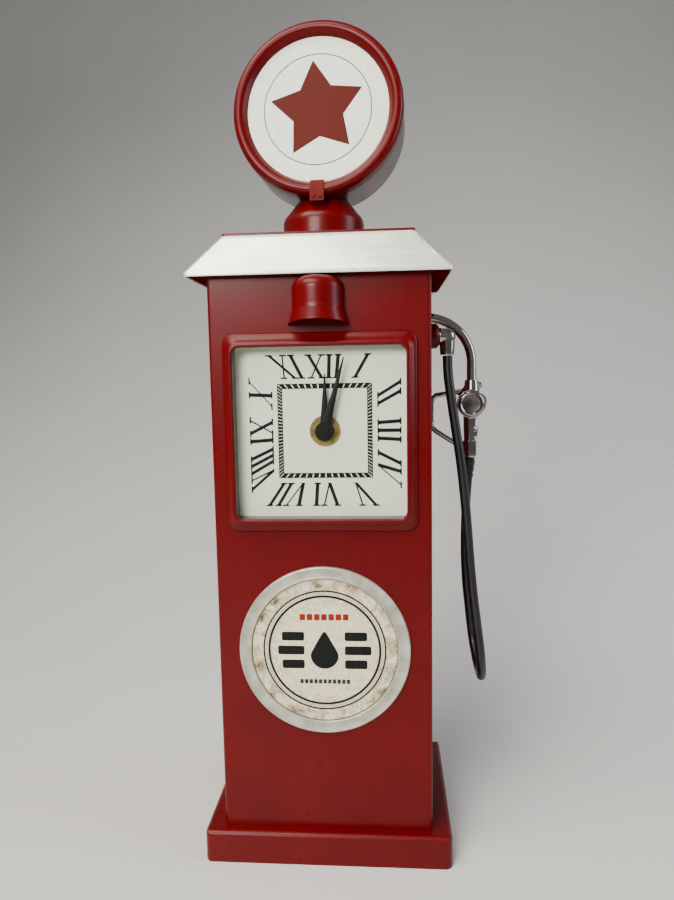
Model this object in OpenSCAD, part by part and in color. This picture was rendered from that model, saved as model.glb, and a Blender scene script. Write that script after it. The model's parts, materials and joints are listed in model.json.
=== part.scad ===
// Service station advertising clock: a sheet-metal fuel pump in miniature, with a quartz clock in its front.
// Origin: middle of the plinth's underside. +X is the pump's left-hand wall seen from inside, where the
// hose hangs, -Y is the dial side, +Z is up. Millimetres.

/* [Column] */
// Width of the column
column_w = 110; // [106:1:150]
// Depth of the column
column_d = 84; // [76:1:120]
// Height of the column, plinth top to canopy
column_h = 287; // [282:1:360]
// Bend radius of the column's upright corners
column_corner = 2; // [1:0.5:4]
// Thickness of the sheet steel
sheet = 0.8; // [0.6:0.1:1.2]

/* [Plinth and canopy] */
// Height of the plinth
plinth_h = 17; // [12:0.5:30]
// How far the plinth and canopy stand out at each side
side_overhang = 10; // [6:0.5:20]
// How far the plinth and canopy stand out at the front and rear
front_overhang = 6; // [4:0.5:16]
// Radius of the plinth's pressed top edge
plinth_edge = 2.5; // [1:0.5:3.5]
// Height of the canopy
canopy_h = 21; // [16:0.5:40]
// How far each side slope runs in
slope_side = 17.5; // [10:0.5:24]
// How far the front and rear slopes run in
slope_front = 10; // [6:0.5:14]

/* [Globe] */
// Outer diameter of the globe's rolled rim
globe_d = 88; // [70:1:110]
// Depth of the globe's band
globe_depth = 27; // [24:0.5:40]
// Width of the rolled rim's bead
rim_w = 7.4; // [5:0.2:10]
// How far the globe leans back on its neck, degrees
globe_lean = 4.5; // [0:0.5:8]
// How far the globe is turned on its neck, degrees
globe_turn = -4; // [-8:0.5:8]
// Diameter of the neck
neck_d = 43.4; // [34:0.2:54]
// Height of the neck to its flat crown
neck_h = 24; // [20:0.5:40]

/* [Lamp hood] */
// Width of the hood's rim
hood_w = 30; // [22:0.5:40]
// Height of the hood
hood_h = 23; // [18:0.5:30]
// How far the hood's rim rises towards its front, degrees
hood_rake = 8; // [0:1:14]

/* [Clock front] */
// Height of the clock's middle above the plinth's underside
clock_z = 226.6; // [200:0.2:240]
// Width of the bezel
bezel_w = 96; // [92:0.5:102]
// Height of the bezel
bezel_h = 99; // [94:0.5:104]
// Square opening of the bezel
window = 85; // [80:0.5:86]
// How far the bezel stands proud of the column
bezel_proud = 6; // [5:0.2:9]
// Thickness of the glass
glass_t = 2; // [1.5:0.1:2.4]
// How far the dial and its movement sit to the right of the bezel's middle
dial_shift = 2; // [0:0.2:2.4]

/* [Movement] */
// Side of the square movement case
case_w = 56; // [56:0.5:60]
// Depth of the movement case
case_t = 16; // [16:0.2:20]
// Length of the minute hand from its pivot
minute_len = 38; // [30:0.5:40]
// Length of the hour hand from its pivot
hour_len = 28.5; // [20:0.5:30]
// Diameter of the threaded bush
bush_d = 8; // [7:0.1:9]

/* [Badge] */
// Diameter of the badge
badge_d = 88; // [70:1:96]
// Width of the badge's bright rim
badge_rim_w = 6.3; // [4:0.1:9]
// Height of the badge's middle
badge_z = 114.7; // [70:0.5:120]

/* [Hose and nozzle] */
// Diameter of the hose
hose_d = 5; // [4:0.5:5]
// Diameter of the nozzle's spout
spout_d = 5.4; // [4.5:0.1:6]
// Bend radius of the spout
spout_bend = 26; // [26:0.5:30]
// Length of spout that plugs into the column
spout_plug = 11; // [8:0.5:14]
// Diameter of the nozzle's dished cap
cap_d = 14.4; // [12:0.2:16]

/* [Rear door] */
// Width of the door
door_w = 88; // [80:1:92]
// Height of the door
door_h = 150; // [120:1:156]
// Diameter of the hinge pins
pin_d = 2; // [1.5:0.1:2.5]

/* [Clearances] */
// Gap around pieces that drop into a cut-out
fit_gap = 0.3; // [0.2:0.05:0.5]
// Radial clearance of a running shaft
run_gap = 0.05; // [0.03:0.01:0.08]

/* [Hidden] */
$fn = 64;

RED = "#8f1d22";
SILVER = "#c9ccc6";
STEEL = "#8d8f90";
CHROME = "#b9babd";
BRASS = "#b08d45";
BLACK = "#141414";
CREAM = "#e8e4d0";
GREY = "#6d6468";

eps = 0.01;
top_z = plinth_h + column_h;
front_y = -column_d / 2;
side_x = column_w / 2;
plinth_w = column_w + 2 * side_overhang;
plinth_d = column_d + 2 * front_overhang;
plinth_corner = 4;

// Screws and nuts of the case, M3, and the two M6 clamp nuts
screw_r = 1.5;
head_r = 2.8;
head_h = 1.8;
nut_h = 2;
nut_r = 3.175;
flange_w = 14;
screw_x = side_x - flange_w / 2 - 1.5;
screw_y = column_d / 2 - 14;
stud_r = 3;
clamp_nut_r = 5.77;
clamp_nut_h = 4;

// Canopy
canopy_lip = 2.2;
canopy_tuck = 0.6;
canopy_z = top_z - canopy_tuck;
roof_top = top_z + canopy_h - 1;
crown_w = plinth_w - 2 * slope_side;
crown_d = plinth_d - 2 * slope_front;
crown_t = 1;
neck_z = roof_top + crown_t;

// Globe
globe_r = globe_d / 2;
band_t = 0.8;
band_r = globe_r - 0.8;
neck_shoulder = 8;
neck_t = 1;
saddle = 4;
globe_z = neck_z + neck_h - saddle + globe_r;
// The globe radius that stands over the neck's axis. A larger globe stands back, so that the foot of its leaning
// rim stays where the strap joins it to the neck's front
centred_r = 44;
globe_y = (globe_r - centred_r) * sin(globe_lean);
bead_r = rim_w / 2;
face_t = 0.6;
rim_skirt = 4;
tab_t = 0.8;
tab_across = 7.2;
tab_drop = 3.4;
rivet_r = 0.6;

// Clock front, in depths outward from the column's front wall
tube_t = 0.8;
seat = window + 2;
tube_w = seat + 2 * tube_t;
tube_back = 4;
lip_t = 0.8;
glass_back = bezel_proud - lip_t - glass_t;
frame_w = tube_w + 6;
dial_t = 0.8;
dial_w = tube_w + 4;
tab_w = 6;
tab_len = 2.4;
tab_at = 26;
pivot_x = dial_shift;
pivot_z = clock_z + 0.6;

// Movement, in depths outward from the column's front wall, behind the dial
case_front = -tube_back - dial_t;
case_back = case_front - case_t;
case_wall = 1.2;
lid_t = 1.5;
case_low = 34;
battery_r = 7.1;
battery_l = 50.5;
battery_v = -25;
battery_depth = case_front - case_wall - 0.1 - battery_r;
shelf_v = battery_v + battery_r + 0.7;
inner_front = case_front - case_wall;
bush_r = bush_d / 2;
hour_pipe_r = 2;
minute_pipe_r = 1.3;
arbor_r = 0.5;
motion_arbor_r = 0.9;
washer_t = 0.5;
nut_t = 1.6;

// Motion work and going train: axes (across, up) from the hands' pivot, and tooth modules
motion_at = [9, 0];
motion_dist = norm(motion_at);
m_cannon = 2 * motion_dist / (12 + 36);
m_hour = 2 * motion_dist / (10 + 40);
third_dist = 8.5;
third_angle = 150;
third_at = third_dist * [cos(third_angle), sin(third_angle)];
m_centre = 2 * third_dist / (60 + 8);
m_third = 2 * third_dist / (64 + 8);
inter_dist = 9;
inter_angle = 60;
inter_at = inter_dist * [cos(inter_angle), sin(inter_angle)];
m_seconds = 2 * inter_dist / (50 + 10);
rotor_dist = 7;
rotor_angle = 20;
rotor_at = inter_at + rotor_dist * [cos(rotor_angle), sin(rotor_angle)];
m_rotor = 2 * rotor_dist / (48 + 8);
coil_at = [21, 9.5];
coil_l = 13;
stator_depth = -14;

// Where the hands stand at rest, degrees from twelve, anticlockwise
hour_angle = -1;
minute_angle = -15.5;

// Badge
badge_r = badge_d / 2;
badge_t = 1.8;
badge_plate_t = 0.6;
badge_post_r = 1.25;
badge_post_at = badge_r - badge_rim_w / 2;

// Hose fitting on the right-hand wall
boss_y = -20;
boss_z = 274;
boss_r = 6.4;
boss_t = 5;
elbow_r = 4.2;
elbow_bend = 4.4;
elbow_out_z = 264;
elbow_x = side_x + boss_t + elbow_bend;
hose_r = hose_d / 2;

// Nozzle, hanging on the same wall by its spout
nozzle_y = 20;
spout_r = spout_d / 2;
spout_z = 286.6;
spout_x = side_x + 0.5 + spout_bend;
spout_low = 250;
cap_x = spout_x - 0.7;
cap_z = 237.5;
cap_r = cap_d / 2;
barrel_t = 11;
collar_z = 206;
collar_h = 10;
collar_x = side_x + 25.5;
collar_r = 4.1;
guard_x = side_x + 3.6;

// Door at the rear
door_z = 212;
door_lip = 3;
door_side = 4;
pan_w = door_w - 2 * door_side - 1.6;
pan_h = door_h - 2 * door_side - 1.6;
hinge_x = -door_w / 2 - 3.2;
knuckle_r = pin_d / 2 + 1.2;
hinge_y = column_d / 2 + knuckle_r + 0.4;
knuckle_h = 18;

// The hose's route, from the elbow's outlet down, round below and up to the nozzle's collar, its x
// measured from the column's side wall
hose_route = [
    [9.4, -20, 264], [9.8, -20, 254], [11.6, -20, 240], [14, -20, 224], [16.4, -20, 208],
    [18.4, -20, 190], [20, -20, 172], [21.4, -20, 154], [23.2, -20, 136], [25.2, -20, 120],
    [27, -20, 105], [28, -17.3, 95], [29, -10, 87.7], [29.4, 0, 85], [29, 10, 87.7], [28, 17.3, 95],
    [26.8, 20, 105], [25.4, 20, 118], [24, 20, 132], [23.2, 20, 148], [23.2, 20, 164],
    [23.8, 20, 180], [24.8, 20, 194], [25.5, 20, 206]
];
hose_sides = 10;

// ---- shared shapes ----

// Rounded rectangle, centred
module rounded(w, h, r) {
    square([w - 2 * r, h], center = true);
    square([w, h - 2 * r], center = true);
    for (sx = [-1, 1], sy = [-1, 1])
        translate([sx * (w / 2 - r), sy * (h / 2 - r)]) circle(r);
}

// Places children on the column's front wall: x across, y up, z outward
module on_front(x, z) {
    translate([x, front_y, z]) rotate([90, 0, 0]) children();
}

// Places children on the right-hand wall: x down, y to the rear, z outward
module on_right(y, z) {
    translate([side_x, y, z]) rotate([0, 90, 0]) children();
}

// Places children about the hands' pivot: x across, y up, z outward
module on_pivot(at = [0, 0], depth = 0) {
    on_front(pivot_x + at[0], pivot_z + at[1]) translate([0, 0, depth]) children();
}

// Places children about the globe's own middle: its axis is z, pointing out of the face
module in_globe() {
    translate([0, globe_y, globe_z]) rotate([0, 0, globe_turn]) rotate([90 - globe_lean, 0, 0]) children();
}

// A disc of radius r and thickness t
module disc(r, t) {
    cylinder(r = r, h = t);
}

// A ring
module ring(r_out, r_in, t) {
    difference() {
        disc(r_out, t);
        translate([0, 0, -1]) disc(r_in, t + 2);
    }
}

// A toothed wheel with slim teeth; a tooth stands at angle phase
module gear(teeth, tooth_module, thick, phase = 0) {
    step = 360 / teeth;
    pitch_r = teeth * tooth_module / 2;
    root_r = pitch_r - 1.25 * tooth_module;
    tip_r = pitch_r + 0.8 * tooth_module;
    flank = [[root_r, -0.25], [tip_r, -0.1], [tip_r, 0.1], [root_r, 0.25]];
    linear_extrude(thick)
        polygon([for (i = [0:teeth - 1], p = flank)
            p[0] * [cos(phase + (i + p[1]) * step), sin(phase + (i + p[1]) * step)]]);
}

// A nut with a round bore
module nut(r, bore, h) {
    difference() {
        cylinder(r = r, h = h, $fn = 6);
        translate([0, 0, -1]) disc(bore, h + 2);
    }
}

// The four places of the case's screws
module at_screws() {
    for (sx = [-1, 1], sy = [-1, 1]) translate([sx * screw_x, sy * screw_y, 0]) children();
}

// ---- plinth, column and canopy ----

// Front view of a pressed block: flat below, rounded at its two top corners
module pressed_outline(w, h, edge) {
    translate([-w / 2, 0]) square([w, h - edge]);
    translate([edge - w / 2, 0]) square([w - 2 * edge, h]);
    for (s = [-1, 1]) translate([s * (w / 2 - edge), h - edge]) circle(edge);
}

// A pressed block with a rounded top edge
module pressed_block(w, d, h, corner, edge) {
    intersection() {
        linear_extrude(h) rounded(w, d, corner);
        rotate([90, 0, 0]) linear_extrude(d + 2, center = true) pressed_outline(w, h, edge);
        rotate([90, 0, 90]) linear_extrude(w + 2, center = true) pressed_outline(d, h, edge);
    }
}

module plinth() color(RED) difference() {
    pressed_block(plinth_w, plinth_d, plinth_h, plinth_corner, plinth_edge);
    translate([0, 0, -1]) linear_extrude(plinth_h - plinth_edge + 1)
        rounded(plinth_w - 2 * sheet, plinth_d - 2 * sheet, plinth_corner - sheet);
    translate([0, 0, -1]) linear_extrude(plinth_h - sheet + 1)
        rounded(plinth_w - 2 * plinth_edge, plinth_d - 2 * plinth_edge, plinth_corner - plinth_edge);
    at_screws() translate([0, 0, plinth_h - 2]) disc(screw_r, 3);
}

// Flanges that stiffen the column's two ends
module column_flanges() {
    for (s = [-1, 1], z = [plinth_h, top_z - sheet])
        translate([s * (side_x - (flange_w + sheet) / 2), 0, z + sheet / 2])
            cube([flange_w, column_d - 2 * column_corner, sheet], center = true);
}

module column_shell() color(RED) difference() {
    union() {
        translate([0, 0, plinth_h]) linear_extrude(column_h) difference() {
            rounded(column_w, column_d, column_corner);
            rounded(column_w - 2 * sheet, column_d - 2 * sheet, max(column_corner - sheet, 0.2));
        }
        column_flanges();
    }
    at_screws() for (z = [plinth_h, top_z - sheet]) translate([0, 0, z - 1]) disc(screw_r, sheet + 2);
    on_front(0, clock_z) translate([0, 0, -sheet - 1])
        linear_extrude(sheet + 2) rounded(tube_w + 2 * fit_gap, tube_w + 2 * fit_gap, 2);
    translate([0, column_d / 2, door_z])
        cube([door_w - 2 * door_side, 4, door_h - 2 * door_side], center = true);
    at_badge_posts() translate([0, 0, -sheet - 1]) disc(badge_post_r + run_gap, sheet + 2);
    on_right(boss_y, boss_z) translate([0, 0, -sheet - 1]) disc(stud_r, sheet + 2);
    on_right(nozzle_y, spout_z) translate([0, 0, -sheet - 1]) disc(spout_r + 2 * run_gap, sheet + 2);
    hood_tabs(fit_gap);
}

module case_screws() color(STEEL) {
    at_screws() {
        translate([0, 0, plinth_h + sheet]) case_screw();
        translate([0, 0, top_z + sheet]) case_screw();
    }
}

// A pan-head screw with its head upward, its seat at z = 0
module case_screw() {
    difference() {
        union() {
            disc(head_r, head_h);
            translate([0, 0, -5]) disc(screw_r, 5 + eps);
        }
        translate([-head_r - 1, -0.4, head_h - 0.7]) cube([2 * head_r + 2, 0.8, 1]);
    }
}

module case_nuts() color(STEEL) {
    at_screws() {
        translate([0, 0, plinth_h - sheet - nut_h]) nut(nut_r, screw_r, nut_h);
        translate([0, 0, top_z - sheet - nut_h]) nut(nut_r, screw_r, nut_h);
    }
}

module canopy_soffit() color(RED) translate([0, 0, top_z]) difference() {
    linear_extrude(sheet) rounded(plinth_w - 2 * sheet, plinth_d - 2 * sheet, 1.1);
    translate([0, 0, -1]) linear_extrude(sheet + 2)
        rounded(column_w - 2 * flange_w - 8, column_d - 16, 3);
    at_screws() translate([0, 0, -1]) disc(screw_r, sheet + 2);
}

// The hipped block of the canopy, inset by a wall thickness
module hip_block(inset, z0, z1) {
    lip_z = canopy_z + canopy_lip;
    k = inset * 0.6;
    hull() {
        translate([0, 0, z0]) linear_extrude(lip_z - z0) rounded(plinth_w - 2 * inset, plinth_d - 2 * inset, 1);
        translate([0, 0, z1 - 0.1]) linear_extrude(0.1)
            rounded(crown_w - 2 * k, crown_d - 2 * k, 1);
    }
}

module canopy_roof() color(SILVER) difference() {
    hip_block(0, canopy_z, roof_top);
    hip_block(sheet, canopy_z - 1, roof_top - sheet);
    linear_extrude(roof_top + 5) rounded(crown_w - 12, crown_d - 12, 2);
}

module canopy_top() color(RED) translate([0, 0, roof_top]) difference() {
    linear_extrude(crown_t) rounded(crown_w, crown_d, 1.5);
    translate([0, 0, -1]) disc(stud_r, crown_t + 2);
}

// ---- globe ----

// Outline of the neck, radius against height
module neck_outline(grow) {
    r = neck_d / 2 - grow;
    s = neck_shoulder - grow;
    h = neck_h - grow;
    difference() {
        union() {
            square([r, h - s]);
            square([r - s, h]);
            translate([r - s, h - s]) circle(s);
        }
        translate([-100, -100]) square([100, 300]);
        translate([-1, -100]) square([100, 100]);
    }
}

module neck() color(RED) difference() {
    translate([0, 0, neck_z]) rotate_extrude() difference() {
        neck_outline(0);
        translate([0, -eps]) neck_outline(neck_t);
    }
    in_globe() translate([0, 0, -globe_r]) disc(band_r, globe_d);
    in_globe() translate([0, 0, globe_depth / 2 - rim_skirt - 0.1]) disc(globe_r + 0.05, 20);
    at_tab_rivets() disc(rivet_r, 10);
}

module globe_stud() color(STEEL) difference() {
    union() {
        translate([0, 0, roof_top - clamp_nut_h - 3])
            disc(stud_r, globe_z - band_r + 4 - roof_top + clamp_nut_h + 3);
        intersection() {
            translate([0, 0, globe_z - band_r - 2]) disc(5.5, 6);
            in_globe() translate([0, 0, -globe_r]) disc(band_r - band_t, globe_d);
        }
    }
    translate([-7, -0.6, globe_z - band_r + 2.8]) cube([14, 1.2, 3]);
}

module clamp_nuts() color(STEEL) {
    translate([0, 0, roof_top - clamp_nut_h]) nut(clamp_nut_r, stud_r, clamp_nut_h);
    on_right(boss_y, boss_z) translate([0, 0, -sheet - clamp_nut_h]) nut(clamp_nut_r, stud_r, clamp_nut_h);
}

module globe_band() color(GREY) difference() {
    in_globe() translate([0, 0, -globe_depth / 2]) ring(band_r, band_r - band_t, globe_depth);
    translate([0, 0, globe_z - globe_r]) disc(stud_r, 10);
}

// The rear cover is a shallow pan pressed into the band
module globe_back() color(RED) in_globe() translate([0, 0, -globe_depth / 2 - band_t]) {
    disc(band_r, band_t);
    translate([0, 0, band_t - eps]) ring(band_r - band_t, band_r - 2 * band_t, 3.6);
}

module globe_face() color(CREAM) in_globe() translate([0, 0, globe_depth / 2]) disc(band_r, face_t);

// Half-round bead of the rim and the skirt that grips the band
module globe_rim() color(RED) in_globe() translate([0, 0, globe_depth / 2 + face_t]) rotate_extrude() {
    mid = globe_r - bead_r;
    difference() {
        translate([mid, 0]) circle(bead_r);
        translate([mid, 0]) circle(bead_r - 0.8);
        translate([mid - 20, -20]) square([40, 20]);
    }
    translate([band_r, -face_t - rim_skirt]) square([globe_r - band_r, face_t + rim_skirt + eps]);
}

// Outline of the strap over the bead, up the globe's radius and outward from its face
module tab_outline() {
    mid = globe_r - bead_r;
    difference() {
        translate([-mid, 0]) circle(bead_r + tab_t);
        translate([-mid, 0]) circle(bead_r + 0.02);
        translate([-mid - 20, -20]) square([40, 20 + bead_r * 0.35]);
        translate([-mid - 20, -20]) square([20, 40]);
    }
    translate([-globe_r - tab_drop, bead_r + 0.02]) square([globe_r + tab_drop - mid + eps, tab_t - 0.02]);
}

// The strap's two rivets, their axes running inward from its face
module at_tab_rivets() {
    out = globe_depth / 2 + face_t + bead_r + tab_t;
    in_globe() for (s = [-1, 1]) translate([s * 1.6, -globe_r - 0.9, out]) mirror([0, 0, 1]) children();
}

module globe_tab() color(RED) difference() {
    in_globe() translate([0, 0, globe_depth / 2 + face_t]) rotate([90, 0, 90])
        translate([0, 0, -tab_across / 2]) linear_extrude(tab_across) tab_outline();
    in_globe() translate([0, 0, globe_depth / 2 + face_t]) rotate_extrude()
        translate([globe_r - bead_r, 0]) circle(bead_r + 0.02);
    translate([0, 0, neck_z]) rotate_extrude() neck_outline(0);
    at_tab_rivets() translate([0, 0, -1]) disc(rivet_r, 10);
}

module tab_rivets() color(RED) at_tab_rivets() {
    translate([0, 0, -0.5]) disc(rivet_r + 0.4, 0.5);
    translate([0, 0, -eps]) disc(rivet_r, 4);
}

// ---- lamp hood ----

// Outline of the hood: radius against height above its rim
module hood_outline(grow) {
    r_rim = hood_w / 2 - grow;
    r_waist = hood_w / 2 - 2.2 - grow;
    waist = hood_h * 0.42;
    shoulder = 6;
    h = hood_h - grow;
    difference() {
        union() {
            polygon([[0, 0], [r_rim, 0], [r_rim - 0.8, waist * 0.35], [r_waist + 0.2, waist * 0.8],
                [r_waist, waist], [r_waist, h - shoulder], [r_waist - shoulder, h], [0, h]]);
            translate([r_waist - shoulder, h - shoulder]) circle(shoulder);
        }
        translate([-100, -50]) square([100, 100]);
    }
}

// Two tabs that clinch the hood through the column's front
module hood_tabs(gap = 0) {
    for (s = [-1, 1]) on_front(s * 7, top_z - 8)
        translate([0, 0, -sheet / 2 - 0.2]) cube([4 + 2 * gap, sheet + 2 * gap, sheet + 2], center = true);
}

module lamp_hood() color(RED) union() {
    difference() {
        translate([0, front_y, top_z - 1.5 - hood_h]) rotate_extrude() difference() {
            hood_outline(0);
            translate([0, -eps]) hood_outline(sheet);
        }
        translate([-50, front_y, 0]) cube([100, 100, top_z + 10]);
        translate([0, front_y, top_z - 1.5 - hood_h]) rotate([-hood_rake, 0, 0])
            translate([-50, -60, -20]) cube([100, 60, 20]);
    }
    intersection() {
        translate([-12, front_y - 3, top_z - 10]) cube([24, 3, 2.5]);
        translate([0, front_y, top_z - 1.5 - hood_h]) rotate_extrude() hood_outline(sheet / 2);
    }
    hood_tabs();
}

// ---- clock front ----

// Body of the bezel between its foot on the wall and its front
module bezel_slope(inset, z0, z1) {
    hull() {
        translate([0, 0, z0]) linear_extrude(0.8) rounded(bezel_w - 2 * inset, bezel_h - 2 * inset, 6);
        translate([0, 0, z1 - 0.6]) linear_extrude(0.6)
            rounded(tube_w + 2.4 - 2 * inset, tube_w + 3.4 - 2 * inset, 4);
    }
}

// The bezel's fixing tabs, two on each side of its tube
module bezel_tabs(gap = 0) {
    for (a = [0:90:270], s = [-1, 1]) rotate([0, 0, a])
        translate([(seat + tube_t) / 2, s * tab_at, 0])
            cube([tube_t + 2 * gap, tab_w + 2 * gap, 2 * (tube_back + dial_t + tab_len)], center = true);
}

module bezel() color(RED) on_front(0, clock_z) difference() {
    union() {
        difference() {
            bezel_slope(0, 0, bezel_proud);
            bezel_slope(sheet, -1, bezel_proud - sheet);
        }
        translate([0, 0, -tube_back]) linear_extrude(tube_back + bezel_proud - 0.2)
            rounded(tube_w, tube_w, 1.8);
        intersection() {
            bezel_tabs();
            translate([0, 0, -20]) linear_extrude(20) square(tube_w, center = true);
        }
    }
    translate([0, 0, -tube_back - 10]) linear_extrude(tube_back + 10 + bezel_proud - lip_t)
        rounded(seat, seat, 1);
    linear_extrude(bezel_proud + 1) rounded(window, window, 4);
}

module glass() color("#cfe0dc", 0.35) on_front(0, clock_z) translate([0, 0, glass_back])
    linear_extrude(glass_t) rounded(seat - 2 * fit_gap, seat - 2 * fit_gap, 1);

module glass_liner() color(GREY) on_front(0, clock_z) translate([0, 0, -tube_back]) difference() {
    linear_extrude(glass_back + tube_back) rounded(seat - 0.2, seat - 0.2, 1);
    translate([0, 0, -1]) linear_extrude(30) rounded(window + 0.4, window + 0.4, 1.5);
}

module bezel_frame() color(STEEL) on_front(0, clock_z) translate([0, 0, -tube_back]) difference() {
    linear_extrude(tube_back - sheet) rounded(frame_w, frame_w, 2);
    translate([0, 0, -1]) linear_extrude(30) rounded(tube_w + 2 * fit_gap, tube_w + 2 * fit_gap, 2);
}

module dial_plate() color(CREAM) difference() {
    on_front(0, clock_z) translate([0, 0, case_front]) linear_extrude(dial_t) rounded(dial_w, dial_w, 2);
    on_pivot() translate([0, 0, case_front - 1]) disc(bush_r + 0.15, dial_t + 2);
    on_front(0, clock_z) bezel_tabs(fit_gap);
}

// ---- movement ----

module movement_case() color(BLACK) on_pivot() difference() {
    translate([0, case_w / 2 - case_low, case_back]) linear_extrude(case_t) rounded(case_w, case_w, 2.5);
    // battery bay, open to the rear
    translate([-case_w / 2 + case_wall, -case_low + case_wall, case_back - 1])
        cube([case_w - 2 * case_wall, shelf_v + case_low - case_wall, case_t + 1 - case_wall]);
    // train bay, closed by the lid
    translate([-case_w / 2 + case_wall, shelf_v + case_wall, case_back - 1])
        cube([case_w - 2 * case_wall, case_w - case_low - shelf_v - 2 * case_wall, case_t + 1 - case_wall]);
    translate([-case_w / 2 - 1, shelf_v, case_back - 1])
        cube([case_w + 2, case_w, 1 + lid_t]);
    translate([0, 0, inner_front - 1]) disc(bush_r, case_wall + 2);
    for (p = [third_at, inter_at, rotor_at])
        translate([p[0], p[1], inner_front - 1]) disc(arbor_r + run_gap, case_wall + 2);
    translate([motion_at[0], motion_at[1], inner_front - 1]) disc(motion_arbor_r + run_gap, case_wall + 2);
}

module movement_lid() color(BLACK) on_pivot() difference() {
    translate([-case_w / 2, shelf_v, case_back]) cube([case_w, case_w - case_low - shelf_v, lid_t]);
    for (p = [[0, 0], third_at, inter_at, rotor_at])
        translate([p[0], p[1], case_back - 1]) disc(arbor_r + run_gap, lid_t + 2);
    translate([motion_at[0], motion_at[1], case_back - 1]) disc(motion_arbor_r + run_gap, lid_t + 2);
}

module threaded_bush() color(BRASS) on_pivot() difference() {
    union() {
        translate([0, 0, inner_front - 0.6]) disc(bush_r + 2, 0.6);
        translate([0, 0, inner_front - eps]) disc(bush_r, case_wall + dial_t + washer_t + nut_t + 0.2 + eps);
    }
    translate([0, 0, inner_front - 2]) disc(hour_pipe_r + run_gap, 12);
}

module bush_washer() color(BRASS) on_pivot(depth = -tube_back) ring(7.75, bush_r, washer_t);

module bush_nut() color(BRASS) on_pivot(depth = -tube_back + washer_t) nut(6.4, bush_r, nut_t);

// An arbor of the train, from the lid to the case's front wall
module train_arbor(front) {
    translate([0, 0, case_back + 0.2]) disc(arbor_r, front - case_back - 0.2);
}

module hour_wheel() color(BRASS) on_pivot() difference() {
    union() {
        translate([0, 0, -8.2]) gear(40, m_hour, 0.8, 180 / 40);
        translate([0, 0, -8.2]) disc(hour_pipe_r, 7.7);
    }
    translate([0, 0, -9]) disc(minute_pipe_r + run_gap, 12);
}

module minute_arbor() color(STEEL) on_pivot() difference() {
    union() {
        translate([0, 0, -10]) gear(12, m_cannon, 1);
        translate([0, 0, -12.2]) disc(minute_pipe_r, 13.2);
    }
    translate([0, 0, -13]) disc(arbor_r + run_gap, 16);
}

// The centre wheel grips the minute arbor by friction only, so the hands can be set
module centre_wheel() color(BRASS) on_pivot() translate([0, 0, -11.6]) difference() {
    gear(60, m_centre, 0.6, third_angle);
    translate([0, 0, -1]) disc(minute_pipe_r + run_gap, 3);
}

module motion_wheel() color(CREAM) on_pivot(motion_at) {
    translate([0, 0, -9.8]) gear(36, m_cannon, 0.6, 180 + 180 / 36);
    translate([0, 0, -9.2 - eps]) disc(1.2, 0.8 + 2 * eps);
    translate([0, 0, -8.4]) gear(10, m_hour, 1.2, 180);
    translate([0, 0, case_back - 2.5]) disc(motion_arbor_r, case_front - 0.2 - case_back + 2.5);
}

module setting_knob() color(BLACK) on_pivot(motion_at, case_back - 4.5) difference() {
    disc(5, 4.2);
    translate([0, 0, 2]) disc(motion_arbor_r, 4);
    for (a = [0:30:330]) rotate([0, 0, a]) translate([5.3, 0, -1]) disc(0.9, 7);
}

module third_wheel() color(CREAM) on_pivot(third_at) {
    translate([0, 0, -11.8]) gear(8, m_centre, 1, 180 + third_angle + 180 / 8);
    translate([0, 0, -13.6]) gear(64, m_third, 0.6, 180 + third_angle);
    train_arbor(case_front - 0.2);
}

module seconds_wheel() color(CREAM) on_pivot() {
    translate([0, 0, -13.8]) gear(8, m_third, 1, third_angle + 180 / 8);
    translate([0, 0, -15.4]) gear(50, m_seconds, 0.6, inter_angle);
    train_arbor(-1);
}

module intermediate_wheel() color(CREAM) on_pivot(inter_at) {
    translate([0, 0, -15.6]) gear(10, m_seconds, 1, 180 + inter_angle + 180 / 10);
    translate([0, 0, -17.4]) gear(48, m_rotor, 0.6, rotor_angle);
    train_arbor(case_front - 0.2);
}

module rotor() color(STEEL) on_pivot(rotor_at) {
    translate([0, 0, -17.6]) gear(8, m_rotor, 1, 180 + rotor_angle + 180 / 8);
    translate([0, 0, -15]) disc(3.2, 3);
    train_arbor(case_front - 0.2);
}

module stator() color(STEEL) on_pivot() translate([0, 0, stator_depth]) difference() {
    linear_extrude(1) difference() {
        union() {
            translate(rotor_at) circle(5.6);
            translate([rotor_at[0], coil_at[1] + 7.5]) square([coil_at[0] - rotor_at[0] + 2, 3]);
            translate([rotor_at[0] + 1.5, rotor_at[1]]) square([3, 8]);
            translate([rotor_at[0], coil_at[1] - 10.5]) square([coil_at[0] - rotor_at[0] + 2, 3]);
            translate([rotor_at[0] + 1.5, coil_at[1] - 8.5]) square([3, 9]);
        }
        translate(rotor_at) circle(3.8);
    }
}

module coil() color("#9a4a1c") on_pivot(coil_at, stator_depth + 0.5) rotate([90, 0, 0]) {
    translate([0, 0, -coil_l / 2]) disc(2.9, coil_l);
    for (s = [-1, 1]) translate([0, 0, s * (coil_l / 2 + 0.3) - 0.4]) disc(3.8, 0.8);
}

module circuit_board() color("#2d5a35") on_pivot() {
    translate([-26, -6, -17]) cube([11, 24, 1]);
    translate([-23.5, 6, -16 - eps]) cube([5, 5, 1]);
    translate([-20.5, -4, -15 - eps]) rotate([-90, 0, 0]) disc(1, 7);
}

module battery() color("#3a3f45") on_pivot([0, battery_v], battery_depth) rotate([0, 90, 0]) {
    translate([0, 0, -battery_l / 2]) disc(battery_r, battery_l - 1.4);
    translate([0, 0, battery_l / 2 - 1.4 - eps]) disc(2.7, 1.4 + eps);
}

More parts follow.
